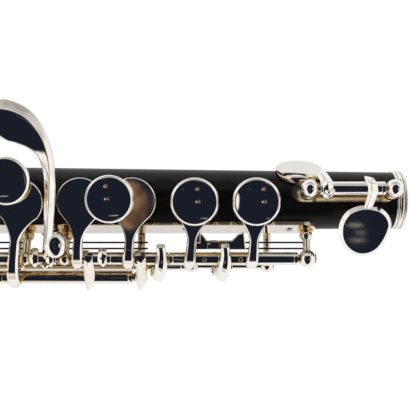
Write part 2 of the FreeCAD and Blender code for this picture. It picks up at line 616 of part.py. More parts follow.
def make_key(label, station, line, roll="0", flip=1, seat="seat_level", pad_radius="pad_radius", slant="0",
             tubes=(), tube="tube_radius", bend="plate_bend", neck_start="-neck_start",
             neck_share="neck_share", bore="steel_radius + steel_gap", disc=None, opened=True, extras=None):
    """A key in its own directions: +Z out of its cup, and the hinge on the -Y side. Cup, plate and arm,
    hinge tube, and for some a finger disc (x, y)."""
    across, above = rolled(line, roll)
    hinge_y = f"({flip} * {across})"
    ceiling = f"({seat} + pad_gap + pad_thickness)"
    top = f"({ceiling} + plate_thickness)"
    cup_radius = f"({pad_radius} + cup_gap + cup_wall)"
    plate_radius = f"({cup_radius} + plate_lip)"
    tip = f"({hinge_y} - {tube} - tip_wrap)"
    drop = f"({top} - {above})"
    arc = f"(((-{bend} - {tip}) ^ 2 + {drop} ^ 2) / (2 * {drop}))"
    inner_arc = f"({arc} - plate_thickness)"
    inner_tip = f"(-{bend} - sqrt({inner_arc} ^ 2 - ({arc} - {drop}) ^ 2))"
    body = new_body(label)

    side = sketch_on(body, "YZ_Plane", label + "_arm_side")
    outline(side, [
        (f"{plate_radius} + 1", top),
        (f"-{bend}", top),
        (tip, above, arc, 1),
        (inner_tip, above),
        (f"-{bend}", ceiling, inner_arc, -1),
        (f"{plate_radius} + 1", ceiling),
    ])
    pad(body, label + "_arm", side, f"4 * {plate_radius} + 2 * abs({slant})", True)

    plan = sketch_on(body, "XY_Plane", label + "_plan", z=f"{top} + 1")
    wide = f"(3 * {plate_radius} + abs({slant}))"
    box_outline(plan, f"-{wide}", wide, f"{tip} - 5", f"{plate_radius} + 5")
    neck = f"-({slant}) * {neck_share}"
    outline(plan, [
        (f"-neck_width / 2 + {neck}", neck_start),
        (f"-{plate_radius} * cos(neck_angle)", f"-{plate_radius} * sin(neck_angle)", "neck_curve", 1),
        ("0", plate_radius, plate_radius, -1),
        (f"{plate_radius} * cos(neck_angle)", f"-{plate_radius} * sin(neck_angle)", plate_radius, -1),
        (f"neck_width / 2 + {neck}", neck_start, "neck_curve", 1),
        (f"neck_width / 2 - ({slant})", f"{tip} + tip_point"),
        (f"-({slant})", f"{tip} - 0.01"),
        (f"-neck_width / 2 - ({slant})", f"{tip} + tip_point"),
    ])
    pocket(body, label + "_outline", plan)

    cup = sketch_on(body, "XZ_Plane", label + "_cup_section")
    outline(cup, [
        ("0", ceiling),
        (f"{pad_radius} + cup_gap", ceiling),
        (f"{pad_radius} + cup_gap", f"{seat} + pad_gap + cup_rim"),
        (cup_radius, f"{seat} + pad_gap + cup_rim"),
        (cup_radius, f"{top} - 0.5"),
        (f"{cup_radius} - 0.5", f"{top} - 0.1"),
        ("0", f"{top} - 0.1"),
    ])
    revolve(body, label + "_cup", cup, "V_Axis")

    for number, (left, right) in enumerate(tubes):
        near = left if flip > 0 else right
        barrel = sketch_on(body, "YZ_Plane", f"{label}_tube_{number}_section",
                           z=f"{flip} * (({near}) - {station})")
        circle(barrel, hinge_y, above, tube)
        pad(body, f"{label}_tube_{number}", barrel, f"({right}) - ({left})")
    if disc:
        lift = f"({top} + disc_lift)"
        face = f"({lift} + disc_height)"
        shape = sketch_on(body, "XZ_Plane", label + "_disc_section", x=disc[0], z=f"-({disc[1]})")
        outline(shape, [
            ("0", f"{top} - 0.4"),
            ("disc_stem_radius", f"{top} - 0.4"),
            ("disc_stem_radius", lift),
            ("disc_radius - 0.3", lift),
            ("disc_radius", f"{lift} + 0.3"),
            ("disc_radius", f"{face} - disc_slope"),
            ("disc_face_radius", face, "disc_slope * 4", 1),
            ("0", f"{face} - disc_dish", "(disc_face_radius ^ 2 + disc_dish ^ 2) / (2 * disc_dish)", -1),
        ])
        revolve(body, label + "_disc", shape, "V_Axis")
    if extras:
        extras(body, label)
    if bore:
        run = sketch_on(body, "YZ_Plane", label + "_bore_plan", z="-body_length")
        circle(run, hinge_y, above, bore)
        pocket(body, label + "_bore", run, forward=True)
    body.Placement = key_place(station, roll, flip, line, opened)
    pieces.append(body)

    felt = new_body(label.replace("_key", "_pad"))
    section = sketch_on(felt, "XZ_Plane", label + "_pad_section")
    outline(section, [
        ("0", f"{seat} + pad_gap"),
        (f"{pad_radius} - 0.4", f"{seat} + pad_gap"),
        (pad_radius, f"{seat} + pad_gap + 0.4"),
        (pad_radius, ceiling),
        ("0", ceiling),
    ])
    revolve(felt, label + "_pad_turning", section, "V_Axis")
    felt.Placement = key_place(station, roll, flip, line, opened)
    pieces.append(felt)


def leaf_lug(station, lug_x, width, reach, level):
    """A leaf-shaped lug on a collar of the main tube, pointing away from the wood."""
    def add(body, label):
        leaf = sketch_on(body, "XY_Plane", label + "_lug_plan", x=f"{lug_x} - {station}", y="main_y", z=level)
        outline(leaf, [
            ("-collar_width / 2", "-tube_radius * 0.5"),
            ("-collar_width / 2", f"-({reach}) * 0.3"),
            (f"-({width}) / 2", f"-({reach}) * 0.58"),
            ("0", f"-({reach})"),
            (f"({width}) / 2", f"-({reach}) * 0.58"),
            ("collar_width / 2", f"-({reach}) * 0.3"),
            ("collar_width / 2", "-tube_radius * 0.5"),
        ])
        pad(body, label + "_lug", leaf, "lug_thickness")
        collar = sketch_on(body, "YZ_Plane", label + "_collar_section",
                           z=f"{lug_x} - {station} - collar_width / 2")
        circle(collar, "main_y", "main_z", "tube_radius + collar_wall")
        pad(body, label + "_collar", collar, "collar_width")
    return add


over_outer = "outer_z + ball_radius + lug_gap + lug_reach * sin(open_angle)"

make_key("d_key", "d_x", "main", tubes=[("d_tube_end", "main_foot_post - end_ball_radius - post_gap")],
         disc=("0", "0"))
make_key("e_key", "e_x", "main", tubes=[("e_tube_end", "d_tube_end - end_gap")], slant="arm_slant",
         disc=("0", "0"))
make_key("f_key", "f_x", "main", tubes=[("f_tube_end", "e_tube_end - end_gap")], slant="arm_slant",
         disc=("f_disc_shift", "f_disc_reach"),
         extras=leaf_lug("f_x", "f_lug_x", "lug_width", "lug_reach", over_outer))
make_key("f_sharp_key", "f_sharp_x", "main",
         tubes=[("main_g_sharp_post + ball_radius + post_gap", "f_tube_end - end_gap")], slant="arm_slant",
         extras=leaf_lug("f_sharp_x", "f_sharp_lug_x", "lug_width", "lug_reach", over_outer))
make_key("low_g_key", "low_g_x", "outer", bend="outer_bend",
         tubes=[("low_g_tube_end", "outer_foot_post - ball_radius - post_gap")], slant="2 * arm_slant",
         disc=("low_g_disc_shift", "low_g_disc_reach"))
make_key("up_g_key", "up_g_x", "outer", bend="outer_bend",
         tubes=[("outer_top_post + ball_radius + post_gap", "low_g_tube_end - end_gap")], slant="arm_slant")
make_key("a_key", "a_x", "main", tubes=[("a_tube_end", "main_a_post - ball_radius - post_gap")],
         disc=("0", "0"))
make_key("b_flat_key", "b_flat_x", "main", tubes=[("b_flat_tube_end", "a_tube_end - end_gap")])
make_key("c_key", "c_x", "main", pad_radius="small_pad_radius", disc=("0", "0"),
         tubes=[("main_top_post + end_ball_radius + post_gap", "b_flat_tube_end - end_gap")])


def g_sharp_lever(body, label):
    """The lever's round arm, arching over the wood, and the little finger's spoon past it. Drawn in the
    instrument's own directions, seen from the key's."""
    roll = "g_sharp_roll"
    x = "g_sharp_x - lever_x"
    back = f"(180 - {roll})"
    path = sketch_on(body, "YZ_Plane", label + "_lever_path", z=x)
    start = ("main_y", "main_z + tube_radius / 2")
    apex = ("main_y * 0.12", "lever_top")
    end = ("lever_end_y", "lever_end_z")
    corners = []
    for y, z in (start, apex, end):
        across = f"(-(({y}) * cos({roll}) + ({z}) * sin({roll})))"
        corners.append((across, f"(({z}) * cos({roll}) - ({y}) * sin({roll}))"))
    places = [Vector(value(a), value(b), 0) for a, b in corners]
    edge = path.addGeometry(Part.Arc(*places), False)
    first, last = (2, 1) if drawn_backwards(path, edge, places[0]) else (1, 2)
    waypoint = path.addGeometry(Part.Point(places[1]), True)
    hold(path, [
        (Sketcher.Constraint("PointOnObject", waypoint, 1, edge), None),
        (Sketcher.Constraint("DistanceX", -1, 1, waypoint, 1, places[1].x), corners[1][0]),
        (Sketcher.Constraint("DistanceY", -1, 1, waypoint, 1, places[1].y), corners[1][1]),
        (Sketcher.Constraint("DistanceX", -1, 1, edge, first, places[0].x), corners[0][0]),
        (Sketcher.Constraint("DistanceY", -1, 1, edge, first, places[0].y), corners[0][1]),
        (Sketcher.Constraint("DistanceX", -1, 1, edge, last, places[2].x), corners[2][0]),
        (Sketcher.Constraint("DistanceY", -1, 1, edge, last, places[2].y), corners[2][1]),
    ])
    section = body.newObject("Sketcher::SketchObject", label + "_lever_section")
    section.AttachmentSupport = [(path, "Edge1")]
    section.MapMode = "NormalToEdge"
    circle(section, "0", "0", "lever_radius")
    arm = body.newObject("PartDesign::AdditivePipe", label + "_lever_arm")
    arm.Profile = section
    arm.Spine = (path, ["Edge1"])

    base = "main_z + tube_radius + lug_gap"
    dome = sketch_on(body, "XZ_Plane", label + "_saddle_section", x="g_sharp_x - saddle_x",
                     y=f"({base}) * cos({roll}) - saddle_y * sin({roll})",
                     z=f"saddle_y * cos({roll}) + ({base}) * sin({roll})", roll=roll)
    crown_height = "(saddle_height * 0.6)"
    outline(dome, [
        ("0", "0"),
        ("saddle_radius", "0"),
        ("saddle_radius", f"saddle_height - {crown_height}"),
        ("0", "saddle_height", f"(saddle_radius ^ 2 + {crown_height} ^ 2) / (2 * {crown_height})", 1),
    ])
    revolve(body, label + "_saddle", dome, "V_Axis")

    spoon = sketch_on(body, "XY_Plane", label + "_spoon_plan", x="g_sharp_x - spoon_x",
                      y=f"-(spoon_y * cos({roll}) + lever_end_z * sin({roll}))",
                      z=f"lever_end_z * cos({roll}) - spoon_y * sin({roll})", roll=f"{roll} + spoon_tilt")
    outline(spoon, [
        ("-12.1", "11.0"),
        ("-11.3", "5.2"),
        ("-4.0", "-5.1", "17", 1),
        ("4.5", "-8.0", "13", 1),
        ("11.0", "-4.0", "8.5", 1),
        ("9.6", "1.2", "3.6", 1),
        ("-4.0", "6.6"),
        ("-9.8", "11.0"),
    ])
    pad(body, label + "_spoon", spoon, "spoon_thickness")


make_key("g_sharp_key", "g_sharp_x", "main", roll="g_sharp_roll", flip=-1, seat="under_seat", opened=False,
         bend="round_bend", extras=g_sharp_lever,
         tubes=[("main_a_post + ball_radius + post_gap", "main_g_sharp_post - ball_radius - post_gap")])


def trill_touch(station, touch_x):
    """A leaf over the main tube and a web down to the trill rod's hub."""
    def add(body, label):
        x = f"{touch_x} - {station}"
        web = sketch_on(body, "YZ_Plane", label + "_touch_web", z=f"{x} - trill_arm_width / 2")
        inner = "main_y - tube_radius - collar_wall - lug_gap - web_gap"
        outer = f"{inner} - trill_web"
        outline(web, [
            ("trill_y + 0.8", "trill_z"),
            (inner, "main_z - tube_radius"),
            (inner, f"trill_touch_z - sin(trill_touch_tilt) * (trill_touch_y - ({inner}))"),
            (outer, f"trill_touch_z - sin(trill_touch_tilt) * (trill_touch_y - ({outer}))"),
            (outer, "main_z - tube_radius"),
            ("trill_y - 1.3", "trill_z"),
        ])
        pad(body, label + "_web", web, "trill_arm_width")
        leaf = sketch_on(body, "XY_Plane", label + "_touch_plan", x=x, y="trill_touch_y", z="trill_touch_z",
                         roll="trill_touch_tilt")
        half = "trill_touch_length / 2"
        outline(leaf, [
            ("1.9", half),
            ("0.7", half, "0.7", 1),
            ("-trill_touch_width / 2", f"-{half} + 2", "14", 1),
            ("0", f"-{half}", "trill_touch_width / 1.9", 1),
            ("trill_touch_width / 2", f"-{half} + 2", "trill_touch_width / 1.9", 1),
        ])
        pad(body, label + "_touch", leaf, "trill_touch_thickness", True)
    return add


make_key("trill_one_key", "trill_one_x", "trill", pad_radius="small_pad_radius", bend="round_bend",
         opened=False, tube="trill_tube_radius",
         tubes=[("trill_one_tube_end", "trill_mid_post - ball_radius - post_gap")],
         extras=trill_touch("trill_one_x", "trill_one_touch_x"))


def trill_rod_and_touch(body, label):
    """The inner rod, which runs through the first trill key's tube to this key's own touch."""
    inner = sketch_on(body, "YZ_Plane", label + "_rod_section",
                      z="trill_top_post - ball_radius - trill_two_x")
    circle(inner, "trill_y", "trill_z", "steel_radius")
    pad(body, label + "_rod", inner, "trill_foot_post - trill_top_post + 2 * ball_radius")
    trill_touch("trill_two_x", "trill_two_touch_x")(body, label)


make_key("trill_two_key", "trill_two_x", "trill", pad_radius="small_pad_radius", bend="round_bend",
         opened=False, tube="trill_tube_radius", bore=None,
         tubes=[("trill_top_post + ball_radius + post_gap", "trill_one_tube_end - end_gap"),
                ("trill_two_touch_x - 3", "trill_two_touch_x + 3")],
         extras=trill_rod_and_touch)

make_key("thumb_b_key", "thumb_b_x", "thumb", roll="thumb_roll", flip=-1, seat="under_seat", disc=("0", "0"),
         bend="round_bend",
         tubes=[("thumb_top_post + ball_radius + post_gap", "thumb_tube_end - end_gap")])
make_key("thumb_b_flat_key", "thumb_b_flat_x", "thumb", roll="thumb_roll", flip=-1, seat="under_seat",
         bend="round_bend",
         tubes=[("thumb_tube_end", "thumb_foot_post - ball_radius - post_gap")])


def eb_touch(body, label):
    """The arm over the foot joint's shoulder and the round touch of the right little finger."""
    roll = "eb_roll"
    x = "eb_touch_x - eb_x"
    arm = sketch_on(body, "XY_Plane", label + "_touch_arm_plan", x=x,
                    y=f"eb_y * cos({roll}) + eb_z * sin({roll})",
                    z=f"eb_z * cos({roll}) - eb_y * sin({roll})", roll=f"-({roll}) + eb_touch_tilt * 0.6")
    outline(arm, [
        ("-eb_arm_width / 2", "tube_radius"),
        ("-eb_arm_width / 2", "eb_touch_y - eb_y + 4"),
        ("eb_arm_width / 2", "eb_touch_y - eb_y + 4"),
        ("eb_arm_width / 2", "tube_radius"),
    ])
    pad(body, label + "_touch_arm", arm, "touch_thickness", True)
    plate = sketch_on(body, "XY_Plane", label + "_touch_plan", x=x,
                      y=f"eb_touch_y * cos({roll}) + eb_touch_z * sin({roll})",
                      z=f"eb_touch_z * cos({roll}) - eb_touch_y * sin({roll})",
                      roll=f"-({roll}) + eb_touch_tilt")
    outline(plate, [
        ("touch_radius * 0.35", "touch_radius * 0.92", "touch_radius * 0.8", 1),
        ("-touch_radius * 0.68", "touch_radius * 0.76", "touch_radius * 1.25", 1),
        ("-touch_radius", "-touch_radius * 0.05", "touch_radius", 1),
        ("-touch_radius * 0.28", "-touch_radius", "touch_radius", 1),
        ("touch_radius * 0.66", "-touch_radius * 0.64", "touch_radius * 0.9", 1),
        ("touch_radius", "touch_radius * 0.2", "touch_radius * 2", 1),
    ])
    pad(body, label + "_touch", plate, "touch_thickness", True)


make_key("eb_key", "eb_x", "eb", roll="eb_roll", seat="eb_seat", pad_radius="eb_pad_radius", opened=False,
         bend="eb_pad_radius", neck_start="-eb_neck_start", neck_share="eb_neck_share",
         slant="eb_x - eb_arm_x",
         tubes=[("eb_top_post + end_ball_radius + post_gap", "eb_foot_post - end_ball_radius - post_gap")],
         extras=eb_touch)


# ---- checks and files ----

doc.recompute()
for thing in doc.Objects:
    if {"Invalid", "Error"} & set(thing.State):
        raise ValueError(f"{thing.Label} failed: {thing.State}")
    if thing.TypeId == "PartDesign::Pocket" and thing.Shape.Volume >= thing.BaseFeature.Shape.Volume - 0.001:
        raise ValueError(f"{thing.Label} cuts nothing")
for piece in pieces:
    if piece.Shape.isNull() or not piece.Shape.isValid() or piece.Shape.Volume <= 0:
        raise ValueError(f"{piece.Label} has no sound shape")

os.makedirs("parts", exist_ok=True)
for piece in pieces:
    piece.Shape.exportStep(f"parts/{piece.Label}.step")
    print(f"{piece.Label}: {len(piece.Shape.Solids)} solid(s), {piece.Shape.Volume:.1f} mm3")
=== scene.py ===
import json
import math
import bmesh
import bpy
from mathutils import Matrix, Vector


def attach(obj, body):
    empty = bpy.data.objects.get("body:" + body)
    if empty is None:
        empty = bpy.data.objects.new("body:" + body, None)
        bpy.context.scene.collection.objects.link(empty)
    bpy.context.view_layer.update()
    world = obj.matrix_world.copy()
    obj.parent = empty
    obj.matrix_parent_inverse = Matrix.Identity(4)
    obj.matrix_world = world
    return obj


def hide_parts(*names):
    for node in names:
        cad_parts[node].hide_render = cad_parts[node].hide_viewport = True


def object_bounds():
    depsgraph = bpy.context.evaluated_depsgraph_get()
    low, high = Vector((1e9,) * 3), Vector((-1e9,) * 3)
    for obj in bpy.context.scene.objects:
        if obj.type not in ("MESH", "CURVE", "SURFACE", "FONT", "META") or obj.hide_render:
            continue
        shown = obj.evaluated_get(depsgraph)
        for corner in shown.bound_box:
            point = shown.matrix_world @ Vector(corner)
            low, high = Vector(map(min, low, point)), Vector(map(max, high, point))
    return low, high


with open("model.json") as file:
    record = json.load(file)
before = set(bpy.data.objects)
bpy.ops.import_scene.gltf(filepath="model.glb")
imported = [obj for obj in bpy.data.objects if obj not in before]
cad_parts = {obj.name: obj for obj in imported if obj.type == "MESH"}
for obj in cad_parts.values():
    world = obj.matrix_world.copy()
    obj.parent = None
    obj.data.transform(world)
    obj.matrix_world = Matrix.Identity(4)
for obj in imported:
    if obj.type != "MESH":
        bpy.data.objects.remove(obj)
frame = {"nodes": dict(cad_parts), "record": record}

# Piccolo seen from above its foot end. Angles are degrees and lengths are millimetres, but metres in the
# finishes and the studio.
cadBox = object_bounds()
mm = 0.001
nodes = frame["nodes"]
print("frame loaded")


# materials

def newMaterial(name, cleared=False):
    material = bpy.data.materials.new(name)
    material.use_nodes = True
    if cleared:
        material.node_tree.nodes.clear()
    return material, material.node_tree


def addNode(tree, kind, inputs=None, **settings):
    node = tree.nodes.new(kind)
    for key, setting in settings.items():
        setattr(node, key, setting)
    for key, source in (inputs or {}).items():
        if isinstance(source, bpy.types.NodeSocket):
            tree.links.new(source, node.inputs[key])
        else:
            node.inputs[key].default_value = source
    return node


def fillShader(tree, **inputs):
    # links or sets the principled shader's sockets; an underscore stands for a space
    shader = tree.nodes["Principled BSDF"]
    for key, source in inputs.items():
        socket = shader.inputs[key.replace("_", " ")]
        if isinstance(source, bpy.types.NodeSocket):
            tree.links.new(source, socket)
        else:
            socket.default_value = source


def mathNode(tree, operation, first, second=0.0):
    return addNode(tree, "ShaderNodeMath", {0: first, 1: second}, operation=operation).outputs[0]


def objectPlace(tree, scale=(1, 1, 1)):
    coordinates = addNode(tree, "ShaderNodeTexCoord")
    place = addNode(tree, "ShaderNodeMapping", {"Vector": coordinates.outputs["Object"], "Scale": scale})
    return place.outputs[0]


def ramp(tree, source, stops):
    node = addNode(tree, "ShaderNodeValToRGB", {"Fac": source})
    while len(node.color_ramp.elements) < len(stops):
        node.color_ramp.elements.new(0.5)
    for element, (position, color) in zip(node.color_ramp.elements, stops):
        element.position = position
        element.color = (*color, 1)
    return node.outputs["Color"]


def noise(tree, place, scale, detail=4, roughness=0.5):
    return addNode(tree, "ShaderNodeTexNoise",
                   {"Vector": place, "Scale": scale, "Detail": detail, "Roughness": roughness}).outputs["Fac"]


def cells(tree, place, scale):
    return addNode(tree, "ShaderNodeTexVoronoi", {"Vector": place, "Scale": scale}).outputs["Distance"]


def bump(tree, height, strength, distance):
    return addNode(tree, "ShaderNodeBump",
                   {"Height": height, "Strength": strength, "Distance": distance}).outputs[0]


def valueRange(tree, source, low, high, start=0.0, end=1.0, kind="LINEAR"):
    return addNode(tree, "ShaderNodeMapRange",
                   {"Value": source, "From Min": start, "From Max": end, "To Min": low, "To Max": high},
                   interpolation_type=kind).outputs[0]


silverValues = {"cornerSamples": 6, "cloudScale": 260, "cloudDetail": 3, "tarnishAndShadeAt": 0.14, "cleanAt": 0.74,
                "scratchStretch": (1, 5, 5), "scratchScale": 900, "scratchDetail": 6, "scratchRoughness": 0.65,
                "bumpStrength": 0.02, "bumpDistance": 0.00002}


def plateSilver(name, clean, tarnishAndShadeColor, smooth=0.02, worn=0.06, reach=0.007, clouding=0.12, low=0.36,
                levels=(0.0075, 0.011)):
    # silver plate, warmer and darker in the corners and low beside the wood: partly tarnish, partly painted
    # shade and painted warm reflection
    v = silverValues
    material, tree = newMaterial(name)
    place = objectPlace(tree)
    # the occlusion tint is tarnish plus painted shade and painted warm reflection, where nearby parts close in
    corner = addNode(tree, "ShaderNodeAmbientOcclusion", {"Distance": reach}, samples=v["cornerSamples"])
    cloud = mathNode(tree, "MULTIPLY", noise(tree, place, v["cloudScale"], v["cloudDetail"]), clouding)
    height = addNode(tree, "ShaderNodeSeparateXYZ", {"Vector": place}).outputs["Z"]
    # painted shade and painted warm reflection by height, with tarnish: between the levels the colour turns
    # from clean towards the warm dark tint
    shade = valueRange(tree, height, low, 0.0, *levels, "SMOOTHSTEP")
    tarnishAndPaintedShade = mathNode(tree, "SUBTRACT", mathNode(tree, "ADD", corner.outputs["AO"], cloud), shade)
    scratches = noise(tree, objectPlace(tree, v["scratchStretch"]), v["scratchScale"], v["scratchDetail"],
                      v["scratchRoughness"])
    fillShader(tree, Metallic=1, Roughness=valueRange(tree, scratches, smooth, worn),
               Base_Color=ramp(tree, tarnishAndPaintedShade, [(v["tarnishAndShadeAt"], tarnishAndShadeColor), (v["cleanAt"], clean)]),
               Normal=bump(tree, scratches, v["bumpStrength"], v["bumpDistance"]))
    return material


metalValues = {"scale": 700, "detail": 5, "darkAt": 0.3, "lightAt": 0.7, "bumpStrength": 0.08,
               "bumpDistance": 0.00003}


def bareMetal(name, dark, light, smooth, worn, stretch=(1, 1, 1)):
    v = metalValues
    material, tree = newMaterial(name)
    marks = noise(tree, objectPlace(tree, stretch), v["scale"], v["detail"])
    fillShader(tree, Metallic=1, Roughness=valueRange(tree, marks, smooth, worn),
               Base_Color=ramp(tree, marks, [(v["darkAt"], dark), (v["lightAt"], light)]),
               Normal=bump(tree, marks, v["bumpStrength"], v["bumpDistance"]))
    return material


woodValues = {"colors": [(0.35, (0.0022, 0.0021, 0.0024)), (0.8, (0.008, 0.0065, 0.006))],
              "stretch": (0.06, 1, 1), "grainScale": 420, "grainDetail": 6, "grainRoughness": 0.6,
              "poreScale": 1260, "smooth": 0.24, "worn": 0.36, "gloss": 0.17, "bumpStrength": 0.16,
              "bumpDistance": 0.00005}


def oiledBlackwood(name):
    # long pores and faint brown figure along the bore
    v = woodValues
    material, tree = newMaterial(name)
    along = objectPlace(tree, v["stretch"])
    figure = noise(tree, along, v["grainScale"], v["grainDetail"], v["grainRoughness"])
    pores = mathNode(tree, "MULTIPLY", cells(tree, along, v["poreScale"]), figure)
    fillShader(tree, Base_Color=ramp(tree, figure, v["colors"]), Specular_IOR_Level=v["gloss"],
               Roughness=valueRange(tree, figure, v["smooth"], v["worn"]),
               Normal=bump(tree, pores, v["bumpStrength"], v["bumpDistance"]))
    return material


corkValues = {"colors": [(0.08, (0.16, 0.08, 0.035)), (0.2, (0.50, 0.30, 0.15)), (0.5, (0.68, 0.46, 0.26))],
              "grainScale": 1500, "speckScale": 900, "speckDetail": 5, "roughness": 0.85, "bumpStrength": 0.5,
              "bumpDistance": 0.0001}


def corkSheet(name):
    v = corkValues
    material, tree = newMaterial(name)
    place = objectPlace(tree)
    mixed = mathNode(tree, "MULTIPLY", cells(tree, place, v["grainScale"]),
                     noise(tree, place, v["speckScale"], v["speckDetail"]))
    fillShader(tree, Base_Color=ramp(tree, mixed, v["colors"]), Roughness=v["roughness"],
               Normal=bump(tree, mixed, v["bumpStrength"], v["bumpDistance"]))
    return material


padValues = {"colors": [(0.3, (0.74, 0.60, 0.38)), (0.7, (0.90, 0.80, 0.60))], "cloudScale": 600,
             "cloudDetail": 6, "wrinkleScale": 2500, "wrinkleDetail": 3, "roughness": 0.5, "depth": 0.15,
             "bumpStrength": 0.2, "bumpDistance": 0.00005}


def skinPad(name):
    v = padValues
    material, tree = newMaterial(name)
    place = objectPlace(tree)
    cloud = noise(tree, place, v["cloudScale"], v["cloudDetail"])
    wrinkles = noise(tree, place, v["wrinkleScale"], v["wrinkleDetail"])
    fillShader(tree, Base_Color=ramp(tree, cloud, v["colors"]), Roughness=v["roughness"],
               Subsurface_Weight=v["depth"],
               Normal=bump(tree, wrinkles, v["bumpStrength"], v["bumpDistance"]))
    return material


silver = plateSilver("silverPlate", clean=(0.965, 0.95, 0.93), tarnishAndShadeColor=(0.78, 0.55, 0.22))
ringSilver = plateSilver("ringSilver", clean=(0.94, 0.92, 0.89), tarnishAndShadeColor=(0.62, 0.46, 0.30), smooth=0.06,
                         worn=0.16, reach=0.0012, low=0.05)
# the rib's levels run the other way, so its upper part turns golden: painted warm reflection with tarnish
ribSilver = plateSilver("ribSilver", clean=(0.98, 0.94, 0.88), tarnishAndShadeColor=(0.62, 0.42, 0.16), smooth=0.04,
                        worn=0.12, reach=0.004, clouding=0.5, low=0.7, levels=(0.0057, 0.0050))
strapSilver = plateSilver("strapSilver", clean=(0.78, 0.66, 0.46), tarnishAndShadeColor=(0.40, 0.25, 0.09), smooth=0.12,
                          worn=0.26, reach=0.005, clouding=0.5, low=0.1)
rodSteel = bareMetal("rodSteel", dark=(0.42, 0.42, 0.43), light=(0.62, 0.61, 0.60), smooth=0.12, worn=0.28,
                     stretch=(0.2, 3, 3))
springSteel = bareMetal("springSteel", dark=(0.035, 0.04, 0.07), light=(0.09, 0.09, 0.13), smooth=0.2,
                        worn=0.4)
turnedBrass = bareMetal("turnedBrass", dark=(0.58, 0.38, 0.14), light=(0.80, 0.58, 0.26), smooth=0.15,
                        worn=0.35, stretch=(8, 1, 1))
# near black for the pin ends: painted shade standing for the hole through each collar
paintedHoleShade = bareMetal("paintedHoleShade", dark=(0.02, 0.018, 0.016), light=(0.06, 0.05, 0.045), smooth=0.4, worn=0.7)
finishes = {"silver": silver, "steel": rodSteel, "blued_steel": springSteel, "brass": turnedBrass,
            "cork": corkSheet("corkSheet"), "pad_skin": skinPad("padSkin"),
            "blackwood": oiledBlackwood("oiledBlackwood")}
ownFinishes = {"foot_ring": ringSilver, "socket_ring": ringSilver, "head_ring": ringSilver,
               "end_ring": ringSilver, "crown": ringSilver, "main_rib": ribSilver, "thumb_strap": ribSilver,
               "eb_strap": strapSilver}
slotOf = {part["node"]: part["material_slot"] for part in frame["record"]["subparts"]}
for nodeName, node in nodes.items():
    finish = ownFinishes.get(nodeName, finishes[slotOf[nodeName]])
    for index in range(max(1, len(node.data.materials))):
        if index < len(node.data.materials):
            node.data.materials[index] = finish
        else:
            node.data.materials.append(finish)
print("materials made")


# shapes

shapeValues = {"outlineMerge": 0.001, "turnedMerge": 0.0005, "slivers": 0.0001, "sameLevel": 1e-5,
               "belly": 0.9, "creaseFrom": 24, "cageLevels": 3, "edgeCuts": 2, "edgeFrom": 35}


def drawOutline(corners, turnStep):
    # a ring of lines and arcs, with a vertex at each turnStep or so of an arc; a corner (x, y) ends a line, and
    # (x, y, radius, side) ends an arc with its centre on the left (1) or the right (-1)
    bm = bmesh.new()
    last = bm.verts.new((corners[-1][0], corners[-1][1], 0))
    for corner in corners:
        end = Vector((corner[0], corner[1], 0))
        if len(corner) == 2:
            grown = bmesh.ops.extrude_vert_indiv(bm, verts=[last])["verts"][0]
            grown.co = end
            last = grown
            continue
        radius, side = corner[2], corner[3]
        half = (end - last.co) / 2
        bulge = Vector((half.y, -half.x, 0)).normalized() * side
        centre = last.co + half - bulge * math.sqrt(max(radius ** 2 - half.length ** 2, 0))
        turn = 2 * math.asin(min(1, half.length / radius)) * side
        steps = max(2, round(abs(math.degrees(turn)) / turnStep))
        spun = bmesh.ops.spin(bm, geom=[last], cent=centre, axis=(0, 0, 1), angle=turn, steps=steps)
        last = [item for item in spun["geom_last"] if isinstance(item, bmesh.types.BMVert)][0]
    bmesh.ops.remove_doubles(bm, verts=bm.verts, dist=shapeValues["outlineMerge"])
    return bm


def plate(corners, thickness, rim, turnStep=7, under=0.25):
    # a flat plate with its top face at z 0, its upper edge cut to a bright rim and its lower edge eased
    bm = drawOutline(corners, turnStep)
    face = bmesh.ops.contextual_create(bm, geom=bm.edges[:])["faces"][0]
    if face.normal.z < 0:
        face.normal_flip()
    grown = bmesh.ops.extrude_face_region(bm, geom=[face])["geom"]
    lower = [item for item in grown if isinstance(item, bmesh.types.BMVert)]
    bmesh.ops.translate(bm, verts=lower, vec=(0, 0, -thickness))
    bmesh.ops.recalc_face_normals(bm, faces=bm.faces)
    for level, offset in ((0, rim), (-thickness, under)):
        edges = [edge for edge in bm.edges
                 if all(abs(vert.co.z - level) < shapeValues["sameLevel"] for vert in edge.verts)]
        bmesh.ops.bevel(bm, geom=edges, offset=offset, segments=1, profile=0.5, affect="EDGES", material=-1,
                        clamp_overlap=True)
    return bm


def turned(profile, steps=48):
    # a closed half section (radius, height) spun about Z
    bm = bmesh.new()
    last = None
    for radius, height in [*profile, profile[0]]:
        vert = bm.verts.new((radius, 0, height))
        if last:
            bm.edges.new((last, vert))
        last = vert
    bmesh.ops.spin(bm, geom=bm.verts[:] + bm.edges[:], cent=(0, 0, 0), axis=(0, 0, 1), angle=math.tau,
                   steps=steps, use_merge=True)
    bmesh.ops.remove_doubles(bm, verts=bm.verts, dist=shapeValues["turnedMerge"])
    bmesh.ops.dissolve_degenerate(bm, edges=bm.edges, dist=shapeValues["slivers"])
    bmesh.ops.recalc_face_normals(bm, faces=bm.faces)
    return bm


def arc(centre, radius, start, end, count=8):
    # points on an arc for a turned section, angles in degrees
    points = []
    for step in range(count + 1):
        angle = math.radians(start + (end - start) * step / count)
        points.append((centre[0] + radius * math.cos(angle), centre[1] + radius * math.sin(angle)))
    return points


def moveBy(x=0, y=0, z=0):
    return Matrix.Translation((x, y, z))


def turnBy(angle, axis="X"):
    return Matrix.Rotation(math.radians(angle), 4, axis)


alongBore = turnBy(90, "Y")


def joined(parts):
    # one bmesh from (bmesh, matrix) pairs
    whole = bmesh.new()
    for bm, matrix in parts:
        bm.transform(matrix)
        mesh = bpy.data.meshes.new("part")
        bm.to_mesh(mesh)
        bm.free()
        whole.from_mesh(mesh)
        bpy.data.meshes.remove(mesh)
    return whole


